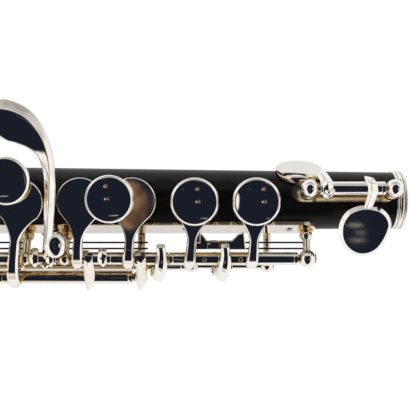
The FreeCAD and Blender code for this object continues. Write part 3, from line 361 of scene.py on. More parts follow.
def loft(stations, sharp=0.7, shoulder=(0.5, 0.42), squareEnds=0.0):
    # a ridged bar through stations (x, y, z, left, right, fall, thickness): the ridge's place, the width on
    # each side of it, how far the edges lie below it, one number or one for each side, and how thick they are;
    # shoulder is where each flank bends, as shares of its width and its fall
    bm = bmesh.new()
    creases = bm.edges.layers.float.new("crease_edge")
    points = [Vector(station[:3]) for station in stations]
    rings = []
    for index, station in enumerate(stations):
        left, right, fall, thickness = station[3:]
        leftFall, rightFall = fall if isinstance(fall, tuple) else (fall, fall)
        out, down = shoulder
        along = (points[min(index + 1, len(points) - 1)] - points[max(index - 1, 0)]).normalized()
        across = along.cross(Vector((0, 0, 1))).normalized()
        up = across.cross(along)
        ring = [bm.verts.new(points[index] + across * u + up * v) for u, v in (
            (-left, -leftFall), (-left * out, -leftFall * down), (0, 0), (right * out, -rightFall * down),
            (right, -rightFall), (right, -rightFall - thickness),
            (0, -thickness * shapeValues["belly"] - (leftFall + rightFall) / 4),
            (-left, -leftFall - thickness))]
        edges = [bm.edges.new((vert, ring[number - 1])) for number, vert in enumerate(ring)]
        if rings:
            bmesh.ops.bridge_loops(bm, edges=rings[-1] + edges)
        rings.append(edges)
    creaseFrom = math.radians(shapeValues["creaseFrom"])
    for edge in bm.edges:
        if len(edge.link_faces) == 2 and edge not in rings[0] + rings[-1]:
            edge[creases] = sharp if edge.calc_face_angle(0) > creaseFrom else 0
    for edge in rings[0] + rings[-1]:
        edge[creases] = squareEnds
    bmesh.ops.holes_fill(bm, edges=bm.edges)
    bmesh.ops.recalc_face_normals(bm, faces=bm.faces)
    return subdivided(bm)


def subdivided(bm):
    mesh = bpy.data.meshes.new("cage")
    bm.to_mesh(mesh)
    bm.free()
    cage = bpy.data.objects.new("cage", mesh)
    bpy.context.scene.collection.objects.link(cage)
    smoothing = cage.modifiers.new("smoothing", "SUBSURF")
    smoothing.levels = smoothing.render_levels = shapeValues["cageLevels"]
    done = bpy.data.meshes.new_from_object(cage.evaluated_get(bpy.context.evaluated_depsgraph_get()))
    bpy.data.objects.remove(cage)
    bpy.data.meshes.remove(mesh)
    smooth = bmesh.new()
    smooth.from_mesh(done)
    bpy.data.meshes.remove(done)
    return smooth


def addPiece(name, bm, material, body, replaced=(), edge=0.0):
    # scales the shape to metres and puts it on its body
    bm.transform(Matrix.Scale(mm, 4))
    for face in bm.faces:
        face.smooth = True
    mesh = bpy.data.meshes.new(name)
    bm.to_mesh(mesh)
    bm.free()
    mesh.materials.append(material)
    piece = bpy.data.objects.new(name, mesh)
    bpy.context.scene.collection.objects.link(piece)
    if edge:
        bevel = piece.modifiers.new("edges", "BEVEL")
        bevel.width = edge * mm
        bevel.segments = shapeValues["edgeCuts"]
        bevel.limit_method = "ANGLE"
        bevel.angle_limit = math.radians(shapeValues["edgeFrom"])
        bevel.use_clamp_overlap = True
        bevel.miter_outer = "MITER_ARC"
    normals = piece.modifiers.new("normals", "WEIGHTED_NORMAL")
    normals.keep_sharp = True
    if replaced:
        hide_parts(*replaced)
    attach(piece, body)


# keys

hingeLines = {"main": (-16.4, 6.5), "outer": (-22.0, 2.5), "trill": (-19.2, -4.2), "eb": (3.1, 12.5),
              "thumb": (-15.0, -8.5)}
bends = {"main": 12.5, "outer": 15.5, "trill": 6.0, "thumb": 6.0, "eb": 5.7}

# roll turns a key about the bore, flip -1 sets its arm on the other side, and opened 0 rests it closed
keyDefaults = {"roll": 0, "flip": 1, "opened": 1, "slant": 0, "seat": 7.6, "pad": 5.7, "tube": 1.85,
               "neckStart": 10.6, "neckShare": 0.5, "pins": (), "spurs": ()}
stations = {
    "d": {"x": -42.7, "line": "main", "tubes": [(-51.6, -30.7)], "slant": 0.9, "disc": (0, 0),
          "pins": [-46.7]},
    "e": {"x": -59.4, "line": "main", "tubes": [(-66.6, -51.8)], "slant": 1.6, "disc": (0, 0),
          "pins": [-56.8]},
    "f": {"x": -76.5, "line": "main", "tubes": [(-84.0, -66.8)], "slant": 1.6, "disc": (-6.0, 0.7),
          "lug": -75.4},
    "f_sharp": {"x": -90.7, "line": "main", "tubes": [(-93.7, -84.2)], "slant": 1.6, "lug": -90.2,
                "spurs": [-85.2]},
    "low_g": {"x": -107.2, "line": "outer", "tubes": [(-115.4, -77.4)], "slant": 3.2, "disc": (-3.0, 6.0)},
    "up_g": {"x": -120.6, "line": "outer", "tubes": [(-126.8, -115.6)], "slant": 1.6},
    "a": {"x": -134.0, "line": "main", "tubes": [(-139.6, -109.2)], "disc": (0, 0)},
    "b_flat": {"x": -147.4, "line": "main", "tubes": [(-153.0, -139.8)]},
    "c": {"x": -160.8, "line": "main", "tubes": [(-165.5, -153.2)], "pad": 4.2, "disc": (0, 0)},
    "g_sharp": {"x": -101.2, "line": "main", "tubes": [(-104.8, -98.1)], "roll": 145, "flip": -1, "opened": 0,
                "bend": 6.0},
    "trill_one": {"x": -172.6, "line": "trill", "tubes": [(-176.6, -62.7)], "pad": 4.2, "tube": 1.5,
                  "opened": 0, "touch": -69.3},
    "trill_two": {"x": -182.9, "line": "trill", "tubes": [(-187.8, -176.8), (-54.6, -48.6)], "pad": 4.2,
                  "tube": 1.5, "opened": 0, "touch": -51.6, "rod": (-192.0, -36.4)},
    "thumb_b": {"x": -153.2, "line": "thumb", "tubes": [(-159.6, -146.4)], "roll": 180, "flip": -1,
                "disc": (0, 0)},
    "thumb_b_flat": {"x": -139.4, "line": "thumb", "tubes": [(-146.2, -136.6)], "roll": 180, "flip": -1},
    "eb": {"x": -30.0, "line": "eb", "tubes": [(-25.4, -7.7)], "roll": -68, "seat": 7.0, "opened": 0,
           "slant": -6.8, "neckShare": 0.92, "neckStart": 7.6},
}


keyValues = {"openAngle": 5, "padGap": 0.12, "padThickness": 1.7, "cupGap": 0.12, "cupWall": 0.5,
             "plateThickness": 1.2, "plateLip": 0.15, "plateRim": 0.22, "plateStep": 4, "neckWidth": 2.6,
             "neckCurve": 12.0, "neckAngle": 44, "tipWrap": 1.4, "tipPoint": 1.0, "tipWidth": 3.3,
             "armFacet": 0.36, "armNarrowing": 0.75, "facetFrom": 6.5, "facetFull": 12.0, "facetCuts": 12,
             "bendCuts": 18, "nearFace": 0.01}


def opening(key):
    # the turn about its rod from closed to its place at rest
    pivot = Vector((0, *hingeLines[key["line"]]))
    lift = key["flip"] * keyValues["openAngle"] * key["opened"]
    return Matrix.Translation(pivot) @ turnBy(lift) @ Matrix.Translation(-pivot)


def keyPlace(key):
    # from the key's own directions, cup up and closed, to its place at rest
    closed = moveBy(key["x"]) @ turnBy(key["roll"]) @ turnBy(180 if key["flip"] < 0 else 0, "Z")
    return opening(key) @ closed


def hingePlace(key):
    # where the hinge line lies across and above, in the key's own directions
    y, z = hingeLines[key["line"]]
    angle = math.radians(key["roll"])
    across = y * math.cos(angle) + z * math.sin(angle)
    return key["flip"] * across, z * math.cos(angle) - y * math.sin(angle)


def cupCeiling(key):
    return key["seat"] + keyValues["padGap"] + keyValues["padThickness"]


def plateTop(key):
    return cupCeiling(key) + keyValues["plateThickness"]


def cupRadius(key):
    return key["pad"] + keyValues["cupGap"] + keyValues["cupWall"]


def cutAcross(bm, y):
    bmesh.ops.bisect_plane(bm, geom=bm.verts[:] + bm.edges[:] + bm.faces[:], plane_co=(0, y, 0),
                           plane_no=(0, 1, 0))


def teardrop(key):
    # the plate over the cup and the arm that curves down round the hinge tube
    v = keyValues
    hingeY, above = hingePlace(key)
    top = plateTop(key)
    radius = cupRadius(key) + v["plateLip"]
    bend = key["bend"]
    tip = hingeY - key["tube"] - v["tipWrap"]
    slant = key["slant"]
    neck = -slant * key["neckShare"]
    start = -key["neckStart"]
    halfNeck = v["neckWidth"] / 2
    halfTip = v["tipWidth"] / 2
    tipRadius = (halfTip ** 2 + v["tipPoint"] ** 2) / (2 * v["tipPoint"])
    side = math.radians(v["neckAngle"])
    drop = top - above
    bendRadius = ((-bend - tip) ** 2 + drop ** 2) / (2 * drop)
    bm = plate([
        (-halfNeck + neck, start),
        (-radius * math.cos(side), -radius * math.sin(side), v["neckCurve"], 1),
        (0, radius, radius, -1),
        (radius * math.cos(side), -radius * math.sin(side), radius, -1),
        (halfNeck + neck, start, v["neckCurve"], 1),
        (halfTip - slant, tip + v["tipPoint"]),
        (-halfTip - slant, tip + v["tipPoint"], tipRadius, -1),
    ], v["plateThickness"], v["plateRim"], v["plateStep"])
    for cut in range(v["facetCuts"]):
        cutAcross(bm, -v["facetFrom"] - (v["facetFull"] - v["facetFrom"]) * cut / (v["facetCuts"] - 1))
    for vert in bm.verts:
        share = min(1, max(0, (-v["facetFrom"] - vert.co.y) / (v["facetFull"] - v["facetFrom"])))
        along = min(1, max(0, (vert.co.y - start) / (tip - start)))
        middle = neck + (-slant - neck) * along
        if vert.co.z > -v["nearFace"]:
            vert.co.x += (middle - vert.co.x) * v["armFacet"] * v["armNarrowing"] * share
        elif vert.co.z > -v["plateRim"] - v["nearFace"]:
            vert.co.z -= v["armFacet"] * share
    last = math.asin((-bend - tip) / bendRadius)
    for cut in range(v["bendCuts"]):
        cutAcross(bm, -bend - bendRadius * math.sin(last * cut / v["bendCuts"]))
    for vert in bm.verts:
        x, y, z = vert.co
        if y < -bend:
            angle = math.asin(min(1, (-bend - y) / bendRadius))
            reach = bendRadius + z
            vert.co = (x, -bend - reach * math.sin(angle), top - bendRadius + reach * math.cos(angle))
        else:
            vert.co.z = top + z
    return bm


cupValues = {"rim": 0.5, "rimFlat": 0.2, "rimDrop": 0.05, "rimRise": 0.1, "shoulder": 0.3, "corner": 1.3,
             "cornerDrop": 1.5, "cornerTurn": 68, "crownAt": 0.5, "crownDrop": 0.12, "middleDrop": 0.1}


def cup(key):
    v = cupValues
    ceiling, top, radius = cupCeiling(key), plateTop(key), cupRadius(key)
    inner = radius - keyValues["cupWall"]
    low = key["seat"] + keyValues["padGap"] + v["rim"]
    shoulder = top - v["shoulder"]
    return turned([
        (0, ceiling), (inner, ceiling), (inner, low), (radius - v["rimFlat"], low - v["rimDrop"]),
        (radius, low + v["rimRise"]),
        *arc((radius - v["corner"], shoulder - v["cornerDrop"]), v["corner"], 0, v["cornerTurn"], 5),
        (radius * v["crownAt"], top - v["crownDrop"]), (0, top - v["middleDrop"]),
    ], 64)


discValues = {"radius": 6.55, "face": 5.95, "height": 1.6, "lift": 0.9, "dish": 0.8, "stem": 1.3,
              "stemFoot": 0.4, "stemNeck": 0.25, "stemFlare": 0.35, "underEdge": 0.45, "rimFlat": 36,
              "rimSteep": 56}


def fingerDisc(key):
    # a dished disc on a short stem over the plate
    v = discValues
    top = plateTop(key)
    lift = top + v["lift"]
    face = lift + v["height"]
    dishRadius = (v["face"] ** 2 + v["dish"] ** 2) / (2 * v["dish"])
    dish = math.degrees(math.asin(v["face"] / dishRadius))
    flat, steep = math.radians(v["rimFlat"]), math.radians(v["rimSteep"])
    rim = (v["radius"] - v["face"]) / (math.sin(steep) - math.sin(flat))
    rimCentre = (v["face"] - rim * math.sin(flat), face - rim * math.cos(flat))
    bm = turned([
        (0, top - v["stemFoot"]), (v["stem"], top - v["stemFoot"]), (v["stem"], lift - v["stemNeck"]),
        (v["stem"] + v["stemFlare"], lift), (v["radius"] - v["underEdge"], lift),
        (v["radius"], lift + v["underEdge"]),
        *arc(rimCentre, rim, 90 - v["rimSteep"], 90 - v["rimFlat"], 5),
        *reversed(arc((0, face - v["dish"] + dishRadius), dishRadius, -90, -90 + dish, 14)[:-1]),
    ], 96)
    bm.transform(moveBy(*key["disc"]))
    return bm


tubeValues = {"bore": 1.05, "wall": 0.3, "edge": 0.12, "seamFrom": 1.1, "seamWidth": 0.12, "seamDepth": 0.08,
              "seamLength": 4}


def hingeTube(key, left, right):
    # a tube section in the key's own directions, with a turned line near each end
    v = tubeValues
    radius = key["tube"]
    near, far = sorted((key["flip"] * (left - key["x"]), key["flip"] * (right - key["x"])))
    length = far - near
    bore = min(v["bore"], radius - v["wall"])
    profile = [(bore, 0), (radius - v["edge"], 0), (radius, v["edge"])]
    if length > v["seamLength"]:
        for seam in (v["seamFrom"], length - v["seamFrom"]):
            profile += [(radius, seam - v["seamWidth"]), (radius - v["seamDepth"], seam),
                        (radius, seam + v["seamWidth"])]
    profile += [(radius, length - v["edge"]), (radius - v["edge"], length), (bore, length)]
    bm = turned(profile, 40)
    bm.transform(moveBy(near, *hingePlace(key)) @ alongBore)
    return bm


rodValues = {"radius": 1.0, "edge": 0.1}


def innerRod(key):
    # the rod that carries the second trill key's touch through the first one's tube
    left, right = key["rod"]
    radius, edge, length = rodValues["radius"], rodValues["edge"], right - left
    rod = turned([(0, 0), (radius - edge, 0), (radius, edge), (radius, length - edge), (radius - edge, length),
                  (0, length)], 32)
    rod.transform(moveBy(left - key["x"], *hingePlace(key)) @ alongBore)
    return rod


# the pin that holds a section to its rod, as half sections (radius, height over the tube)
pinValues = {"collar": [(0.3, -0.2), (0.55, -0.2), (0.55, 0.06), (0.46, 0.12), (0.36, 0.12), (0.3, 0.04)],
             "core": [(0, -0.2), (0.3, -0.2), (0.3, 0.0), (0, 0.05)]}


def pinCollar(key, x):
    collar = turned(pinValues["collar"], 20)
    hingeY, above = hingePlace(key)
    collar.transform(moveBy(key["flip"] * (x - key["x"]), hingeY, above + key["tube"]))
    return collar


# the core sits in the collar's hole and is coloured near black, painted shade for that hole
def pinCore(key, x):
    core = turned(pinValues["core"], 16)
    y, z = hingeLines[key["line"]]
    core.transform(moveBy(x, y, z + key["tube"]))
    return core


def standing(stations, x=0, y=0, z=0):
    # a loft's stations moved to where the piece stands
    return [(x + atX, y + atY, z + atZ, *widths) for atX, atY, atZ, *widths in stations]


def wrappedSpur(x, halfWidth=1.25):
    # the pointed end of a lug, wrapped over the main tube
    y, z = hingeLines["main"]
    return loft([
        (x, y + 3.4, z + 0.6, halfWidth * 0.9, halfWidth * 0.9, 0.3, 0.7),
        (x, y + 2.0, z + 1.9, halfWidth, halfWidth, 0.35, 0.7),
        (x, y + 0.3, z + 2.5, halfWidth, halfWidth, 0.4, 0.7),
        (x, y - 1.4, z + 2.0, halfWidth, halfWidth, 0.5, 0.7),
        (x, y - 2.5, z + 0.8, halfWidth * 0.55, halfWidth * 0.55, 0.4, 0.6),
        (x, y - 2.9, z - 0.2, 0.15, 0.15, 0.1, 0.4),
    ])


# stations from the main tube's axis
lugValues = {
    "leaf": [
        (1.0, 1.9, 1.0, 1.3, 1.3, 0.2, 0.9),
        (1.0, 1.2, 2.4, 1.35, 1.35, 0.3, 0.9),
        (1.0, -0.6, 2.7, 1.4, 1.4, 0.5, 0.9),
        (1.0, -2.0, 2.1, 1.45, 1.45, 0.9, 0.8),
        (0.9, -4.8, 0.4, 1.65, 1.65, 1.25, 0.6),
        (0.6, -7.6, -1.2, 1.45, 1.45, 1.1, 0.5),
        (0.2, -9.7, -2.4, 0.45, 0.45, 0.4, 0.4),
    ],
    "collar": [(1.0, -0.9), (2.25, -0.9), (2.35, -0.7), (2.35, 0.7), (2.25, 0.9), (1.0, 0.9)],
}


def leafLug(key):
    # a ridged leaf on a collar of the main tube, reaching over the outer line
    place = (key["lug"], *hingeLines["main"])
    leaf = loft(standing(lugValues["leaf"], *place), sharp=0.85, squareEnds=0.7)
    collar = turned(lugValues["collar"], 40)
    collar.transform(moveBy(*place) @ alongBore)
    return [leaf, collar]


# stations in the instrument's own directions; each spur's place along the tube and half width
leverValues = {
    "bar": [
        (-101.4, -17.2, 7.9, 1.0, 1.0, 0.8, 1.2),
        (-100.9, -15.4, 9.4, 1.1, 1.1, 0.9, 1.3),
        (-100.2, -12.4, 11.4, 1.15, 1.15, 1.0, 1.3),
        (-99.4, -9.3, 12.9, 1.3, 1.3, 1.15, 1.3),
        (-99.0, -5.0, 14.2, 1.4, 1.4, 1.25, 1.3),
        (-98.7, 0.0, 14.6, 1.5, 1.5, 1.3, 1.3),
        (-98.5, 5.0, 14.2, 1.65, 1.45, (1.3, 1.3), 1.3),
        (-98.8, 9.4, 13.5, 2.2, 1.0, (1.1, 1.1), 1.4),
        (-99.6, 13.0, 13.0, 2.8, 1.1, (0.9, 1.2), 1.3),
        (-100.7, 16.2, 12.9, 4.5, 1.4, (0.9, 1.4), 1.2),
        (-102.5, 18.9, 12.9, 6.1, 2.0, (0.9, 1.7), 1.1),
        (-104.9, 21.8, 12.9, 7.8, 2.5, (0.9, 2.0), 1.0),
        (-107.9, 23.7, 12.8, 8.2, 3.0, (0.9, 2.2), 1.0),
        (-112.3, 24.9, 12.5, 7.6, 3.1, (0.8, 2.2), 1.0),
        (-116.0, 24.6, 12.1, 6.2, 2.7, (0.7, 1.9), 0.9),
        (-119.2, 23.4, 11.8, 4.0, 1.9, (0.5, 1.2), 0.9),
        (-121.2, 22.2, 11.6, 1.3, 0.6, (0.2, 0.4), 0.7),
    ],
    "saddle": [(0, 0), (3.4, 0), (3.7, 0.3), (3.7, 1.0), *arc((3.1, 1.1), 0.6, 0, 45, 4),
               *arc((0, -2.15), 5.2, 51, 90, 12)],
    "saddlePlace": (-98.0, -12.3, 8.8), "saddleNarrow": (0.9, 1.0, 1.0, 1),
    "spurs": [(-104.3, 1.3), (-99.8, 1.1)],
}


def gSharpLever():
    # one bar: up from the rod past the saddle, over the wood, and round into the little finger's spoon
    v = leverValues
    saddle = turned(v["saddle"], 64)
    saddle.transform(moveBy(*v["saddlePlace"]) @ Matrix.Diagonal(v["saddleNarrow"]))
    return [loft(v["bar"], sharp=0.45), saddle, *(wrappedSpur(x, halfWidth) for x, halfWidth in v["spurs"])]


# stations from the touch's place along the bore
touchValues = {
    "leaf": [
        (0.45, -12.1, 10.1, 1.2, 1.2, 0.25, 0.7),
        (0.5, -13.1, 11.0, 1.2, 1.2, 0.5, 0.9),
        (0.6, -13.5, 11.05, 1.2, 1.2, 0.6, 0.9),
        (0.8, -15.2, 10.8, 1.3, 1.4, 0.85, 0.9),
        (0.7, -17.0, 10.55, 1.5, 1.6, 0.95, 0.9),
        (0.45, -18.6, 10.2, 1.7, 1.7, 0.95, 0.9),
        (0.25, -19.3, 9.7, 1.7, 1.7, 0.9, 0.9),
        (-0.3, -21.2, 7.8, 1.65, 1.6, 0.6, 0.8),
        (-0.85, -22.8, 6.2, 1.45, 1.4, 0.35, 0.7),
    ],
    "web": [
        (-1.4, -19.0, -3.6, 1.2, 1.2, 0.3, 1.0),
        (-1.9, -20.0, -1.0, 1.1, 1.1, 0.3, 0.9),
        (-2.2, -20.5, 2.0, 1.1, 1.1, 0.3, 0.9),
        (-1.8, -20.3, 5.2, 1.1, 1.1, 0.3, 0.9),
        (-0.6, -19.6, 7.8, 1.0, 1.0, 0.3, 0.9),
        (0.3, -18.6, 9.5, 1.0, 1.0, 0.3, 0.9),
    ],
}


def trillTouch(key):
    # a three-sided touch between the keys, square at its top and turned down below, on a web from its rod
    leaf, web = (standing(touchValues[part], key["touch"]) for part in ("leaf", "web"))
    return [loft(leaf, sharp=0.95, shoulder=(0.42, 0.05), squareEnds=0.9), loft(web, sharp=0.8)]


# the tab's corners are shares of its radius: x, y, the curve's radius and its side
ebValues = {
    "wrap": [
        (-25.6, 8.0, 12.2, 1.3, 1.0, 0.4, 0.8),
        (-24.6, 6.4, 13.7, 1.5, 1.3, (0.95, 0.6), 0.8),
        (-23.8, 4.8, 14.9, 1.6, 1.4, (1.0, 0.6), 0.8),
        (-23.5, 3.1, 15.3, 1.6, 1.4, (1.0, 0.6), 0.8),
        (-23.4, 1.4, 15.0, 1.6, 1.4, (1.0, 0.6), 0.8),
        (-23.4, 0.3, 13.9, 1.4, 1.3, (0.8, 0.5), 0.8),
        (-23.4, -0.1, 12.6, 0.9, 0.9, 0.3, 0.6),
    ],
    "bracket": [
        (-13.4, 6.6, 12.6, 0.15, 0.15, 0.1, 0.4),
        (-12.7, 5.7, 14.0, 1.6, 0.8, (0.9, 0.4), 0.7),
        (-12.1, 4.2, 15.1, 1.9, 0.8, (0.9, 0.5), 0.8),
        (-11.9, 2.2, 15.3, 1.9, 0.8, (0.75, 0.5), 0.8),
        (-12.2, 0.2, 14.4, 1.8, 0.8, (1.0, 0.5), 0.8),
        (-12.7, -1.8, 13.2, 1.7, 0.7, (1.0, 0.4), 0.8),
        (-13.0, -3.8, 12.8, 1.3, 0.6, (0.7, 0.3), 0.7),
    ],
    "tab": [(0.35, 0.92, 0.8, 1), (-0.68, 0.76, 1.25, 1), (-1, -0.05, 1, 1), (-0.28, -1, 1, 1),
            (0.66, -0.64, 0.9, 1), (1, 0.2, 2, 1)],
    "tabRadius": 7.2, "tabThickness": 1.4, "tabRim": 1.0, "tabUnder": 0.4, "tabPlace": (-12.8, -8.5, 11.85),
    "tabLean": 12,
}


def ebTouch():
    # the cup's arm wrapped over the rod, the bracket beside it, and the little finger's plate
    v = ebValues
    radius = v["tabRadius"]
    corners = [(radius * x, radius * y, radius * curve, side) for x, y, curve, side in v["tab"]]
    tab = plate(corners, v["tabThickness"], v["tabRim"], turnStep=4, under=v["tabUnder"])
    tab.transform(moveBy(*v["tabPlace"]) @ turnBy(v["tabLean"]))
    return [loft(v["wrap"], sharp=0.8), loft(v["bracket"], sharp=0.8), tab]


# a plate cut out like a shallow bowl, hung from the E arm and reaching under the D arm, and the block soldered
# on it: each part's outline, thickness, rim and height
linkValues = {
    "bowl": ([(-59.3, -13.5), (-59.3, -8.7), (-57.7, -9.0), (-56.1, -11.0), (-49.2, -11.0), (-47.5, -9.3),
              (-45.8, -8.7), (-45.3, -13.5)], 0.9, 0.25, 8.6),
    "hanger": ([(-59.3, -11.6), (-59.3, -8.7), (-57.9, -8.7), (-57.9, -11.6)], 1.6, 0.15, 9.7),
    "block": ([(-56.0, -13.3), (-56.0, -11.3), (-52.7, -11.3), (-52.7, -13.3)], 0.6, 0.12, 9.15),
}


def linkPlate(part):
    corners, thickness, rim, height = linkValues[part]
    bm = plate(corners, thickness, rim)
    bm.transform(moveBy(0, 0, height))
    return bm


def buildKey(key):
    parts = [teardrop(key), cup(key)]
    parts += [hingeTube(key, left, right) for left, right in key["tubes"]]
    if "disc" in key:
        parts.append(fingerDisc(key))
    parts += [pinCollar(key, x) for x in key["pins"]]
    if "rod" in key:
        parts.append(innerRod(key))
    return parts


def buildFittings(name, key):
    # what is drawn straight in the instrument's own directions
    parts = []
    if "lug" in key:
        parts += leafLug(key)
    parts += [wrappedSpur(x) for x in key["spurs"]]
    if "touch" in key:
        parts += trillTouch(key)
    if name == "g_sharp":
        parts += gSharpLever()
    if name == "e":
        parts += [linkPlate("bowl"), linkPlate("hanger")]
    if name == "eb":
        parts += ebTouch()
    return parts


for name, station in stations.items():
    key = {**keyDefaults, "bend": bends[station["line"]], **station}
    drawn = [(bm, keyPlace(key)) for bm in buildKey(key)]
    drawn += [(bm, opening(key)) for bm in buildFittings(name, key)]
    addPiece(name + "KeyWork", joined(drawn), silver, name + "_action", [name + "_key"], edge=0.06)
    for x in key["pins"]:
        addPiece(name + "Pin", pinCore(key, x), paintedHoleShade, name + "_action")
    if name == "e":
        # the link block takes the rib's silver and sits above its levels, so it is painted golden all over:
        # painted warm reflection with tarnish
        addPiece("linkBlock", joined([(linkPlate("block"), opening(key))]), ribSilver, "e_action")
print("keys built")


# ring at the foot

ringValues = {"width": 3.1, "radius": 8.35, "seat": 7.4, "lip": 0.7, "hole": 4.5, "mouthEdge": 0.25,
              "backEdge": 0.25, "frontDrop": 0.32, "frontEdge": 0.02, "frontFlat": 0.6, "beadSink": 0.08,
              "beads": (-2.7, -1.6, -0.52), "beadReach": (0.32, 0.56, 0.36), "beadRise": 0.22,
              "grooves": (-2.28, -0.95), "grooveDepth": 0.5}


def footRing():
    # a ferrule with a broad middle band between two beads, and a lip over the end of the wood
    v = ringValues
    profile = [(v["seat"], -v["width"]), (v["radius"] - v["backEdge"], -v["width"])]
    for number, (middle, reach) in enumerate(zip(v["beads"], v["beadReach"])):
        radius = (reach ** 2 + v["beadRise"] ** 2) / (2 * v["beadRise"])
        half = math.degrees(math.asin(reach / radius))
        profile += arc((v["radius"] - radius + v["beadRise"] - v["beadSink"], middle), radius, -half, half)
        if number < len(v["grooves"]):
            profile.append((v["radius"] - v["grooveDepth"], v["grooves"][number]))
    profile += [(v["radius"] - v["frontDrop"], -v["frontEdge"]), (v["radius"] - v["frontFlat"], 0),
                (v["hole"] + v["mouthEdge"], 0), (v["hole"], -v["mouthEdge"]), (v["hole"], -v["lip"]),
                (v["seat"], -v["lip"])]
    bm = turned(profile, 160)
    bm.transform(alongBore)
    return bm


addPiece("footFerrule", footRing(), ringSilver, "instrument", ["foot_ring"], edge=0.05)
print("foot ring turned")


# rod ends

headValues = {"depth": 1.2, "shoulder": 0.12, "slot": 0.16, "height": 0.42, "thickness": 0.4, "rim": 0.12,
              "under": 0.05, "turnStep": 12}


def rodHead(line, x, side, radius):
    # a slotted head let into the ball at the end of a rod: a base and two half discs with the slot between
    v = headValues
    base = turned([(0, -v["depth"]), (radius, -v["depth"]), (radius, v["shoulder"]), (0, v["shoulder"])], 32)
    slot = v["slot"]
    end = math.sqrt(radius ** 2 - slot ** 2)
    place = moveBy(x, *hingeLines[line]) @ turnBy(90 * side, "Y")
    parts = [(base, place)]
    for angle in (0, 180):
        half = plate([(-end, slot), (end, slot), (0, radius, radius, 1), (-end, slot, radius, 1)],
                     v["thickness"], v["rim"], v["turnStep"], v["under"])
        parts.append((half, place @ turnBy(angle, "Z") @ moveBy(0, 0, v["height"])))
    return parts


# line, place along the bore, the way the head faces, radius
rodEnds = [("main", -25.95, 1, 1.35), ("main", -170.25, -1, 1.35), ("outer", -73.6, 1, 1.1),
           ("outer", -130.6, -1, 1.1), ("eb", -2.9, 1, 1.3), ("eb", -30.2, -1, 1.3),
           ("thumb", -132.8, 1, 1.1), ("thumb", -163.4, -1, 1.1)]
heads = [part for end in rodEnds for part in rodHead(*end)]
addPiece("rodHeads", joined(heads), rodSteel, "instrument", edge=0.03)
print("rod ends set")


# camera, floor and light

# focal is in pixels of a 416 pixel wide picture, and near and far are metres
view = {"x": -55.8, "y": -2.23, "height": 200, "focal": 690, "pictureWidth": 416, "sensor": 36, "near": 0.01,
        "far": 20}
cameraData = bpy.data.cameras.new("camera")
cameraData.sensor_width = view["sensor"]
cameraData.lens = view["focal"] * view["sensor"] / view["pictureWidth"]
cameraData.clip_start = view["near"]
cameraData.clip_end = view["far"]
camera = bpy.data.objects.new("camera", cameraData)
camera.location = (view["x"] * mm, view["y"] * mm, view["height"] * mm)
bpy.context.scene.collection.objects.link(camera)
bpy.context.scene.camera = camera
bpy.context.scene.view_settings.view_transform = "Standard"

# open values give the dark opening overhead: its half angles, where it leans and how square it is
studio = {"floorSize": 12.0, "floorGap": 0.0005, "floorColor": (0.9, 0.9, 0.9, 1), "floorGlow": 1.08,
          "floorShare": 0.9, "floorGlossShare": 0.15, "shellRadius": 2.5, "openAcross": 43, "openShift": -3,
          "openAlong": 60, "openLean": -16, "openSquare": 3, "openEdge": (0.93, 1.12),
          "openColor": (0.010, 0.013, 0.022), "cloudScale": 0.9, "cloudDetail": 3,
          "walls": [(0.30, (0.60, 0.54, 0.45)), (0.48, (0.92, 0.88, 0.80)), (0.62, (1.0, 0.985, 0.955))],
          "farFrom": 0.5, "farTo": 0.95, "farShade": 0.5, "lampCentre": -0.062, "lampDistance": 0.96,
          "patchScale": 16, "patchDetail": 5, "patchRoughness": 0.6, "patchDim": 0.38, "patchLit": 0.56}


def stageObject(name, bm, material):
    mesh = bpy.data.meshes.new(name)
    bm.to_mesh(mesh)
    bm.free()
    mesh.materials.append(material)
    thing = bpy.data.objects.new(name, mesh)
    bpy.context.scene.collection.objects.link(thing)
    return thing


def surfaceFrom(tree, shader):
    output = addNode(tree, "ShaderNodeOutputMaterial")
    tree.links.new(shader.outputs[0], output.inputs[0])


def emission(tree, color, strength=1.0):
    return addNode(tree, "ShaderNodeEmission", {"Color": color, "Strength": strength})


def lampGlow(name, color, patchy):
    # an uneven glow, darker in patches
    material, tree = newMaterial(name, cleared=True)
    dim = tuple(channel * (1 - patchy) for channel in color)
    patches = noise(tree, objectPlace(tree), studio["patchScale"], studio["patchDetail"],
                    studio["patchRoughness"])
    glow = ramp(tree, patches, [(studio["patchDim"], dim), (studio["patchLit"], color)])
    surfaceFrom(tree, emission(tree, glow))
    return material


def floorPaper():
    # plain paper that glows white where the camera sees it, and a little in the mirrors
    material, tree = newMaterial("floorPaper", cleared=True)
    path = addNode(tree, "ShaderNodeLightPath").outputs
    straight = mathNode(tree, "MAXIMUM", path["Is Camera Ray"], path["Is Transmission Ray"])
    seen = mathNode(tree, "MULTIPLY", straight, studio["floorShare"])
    gloss = mathNode(tree, "MULTIPLY", path["Is Glossy Ray"], studio["floorGlossShare"])
    paper = addNode(tree, "ShaderNodeBsdfDiffuse", {"Color": studio["floorColor"]})
    glow = emission(tree, (1, 1, 1, 1), studio["floorGlow"])
    surfaceFrom(tree, addNode(tree, "ShaderNodeMixShader", {
        0: mathNode(tree, "MAXIMUM", seen, gloss), 1: paper.outputs[0], 2: glow.outputs[0]}))
    return material


floor = bmesh.new()
bmesh.ops.create_grid(floor, x_segments=1, y_segments=1, size=studio["floorSize"] / 2)
bmesh.ops.translate(floor, verts=floor.verts, vec=(0, 0, cadBox[0].z - studio["floorGap"]))
stageObject("floor", floor, floorPaper())


def angleShare(tree, side, up, middle, half):
    # how far a direction lies from the opening's middle, as a share of its half angle
    angle = mathNode(tree, "SUBTRACT", mathNode(tree, "ARCTAN2", side, up), math.radians(middle))
    return mathNode(tree, "DIVIDE", angle, math.radians(half))


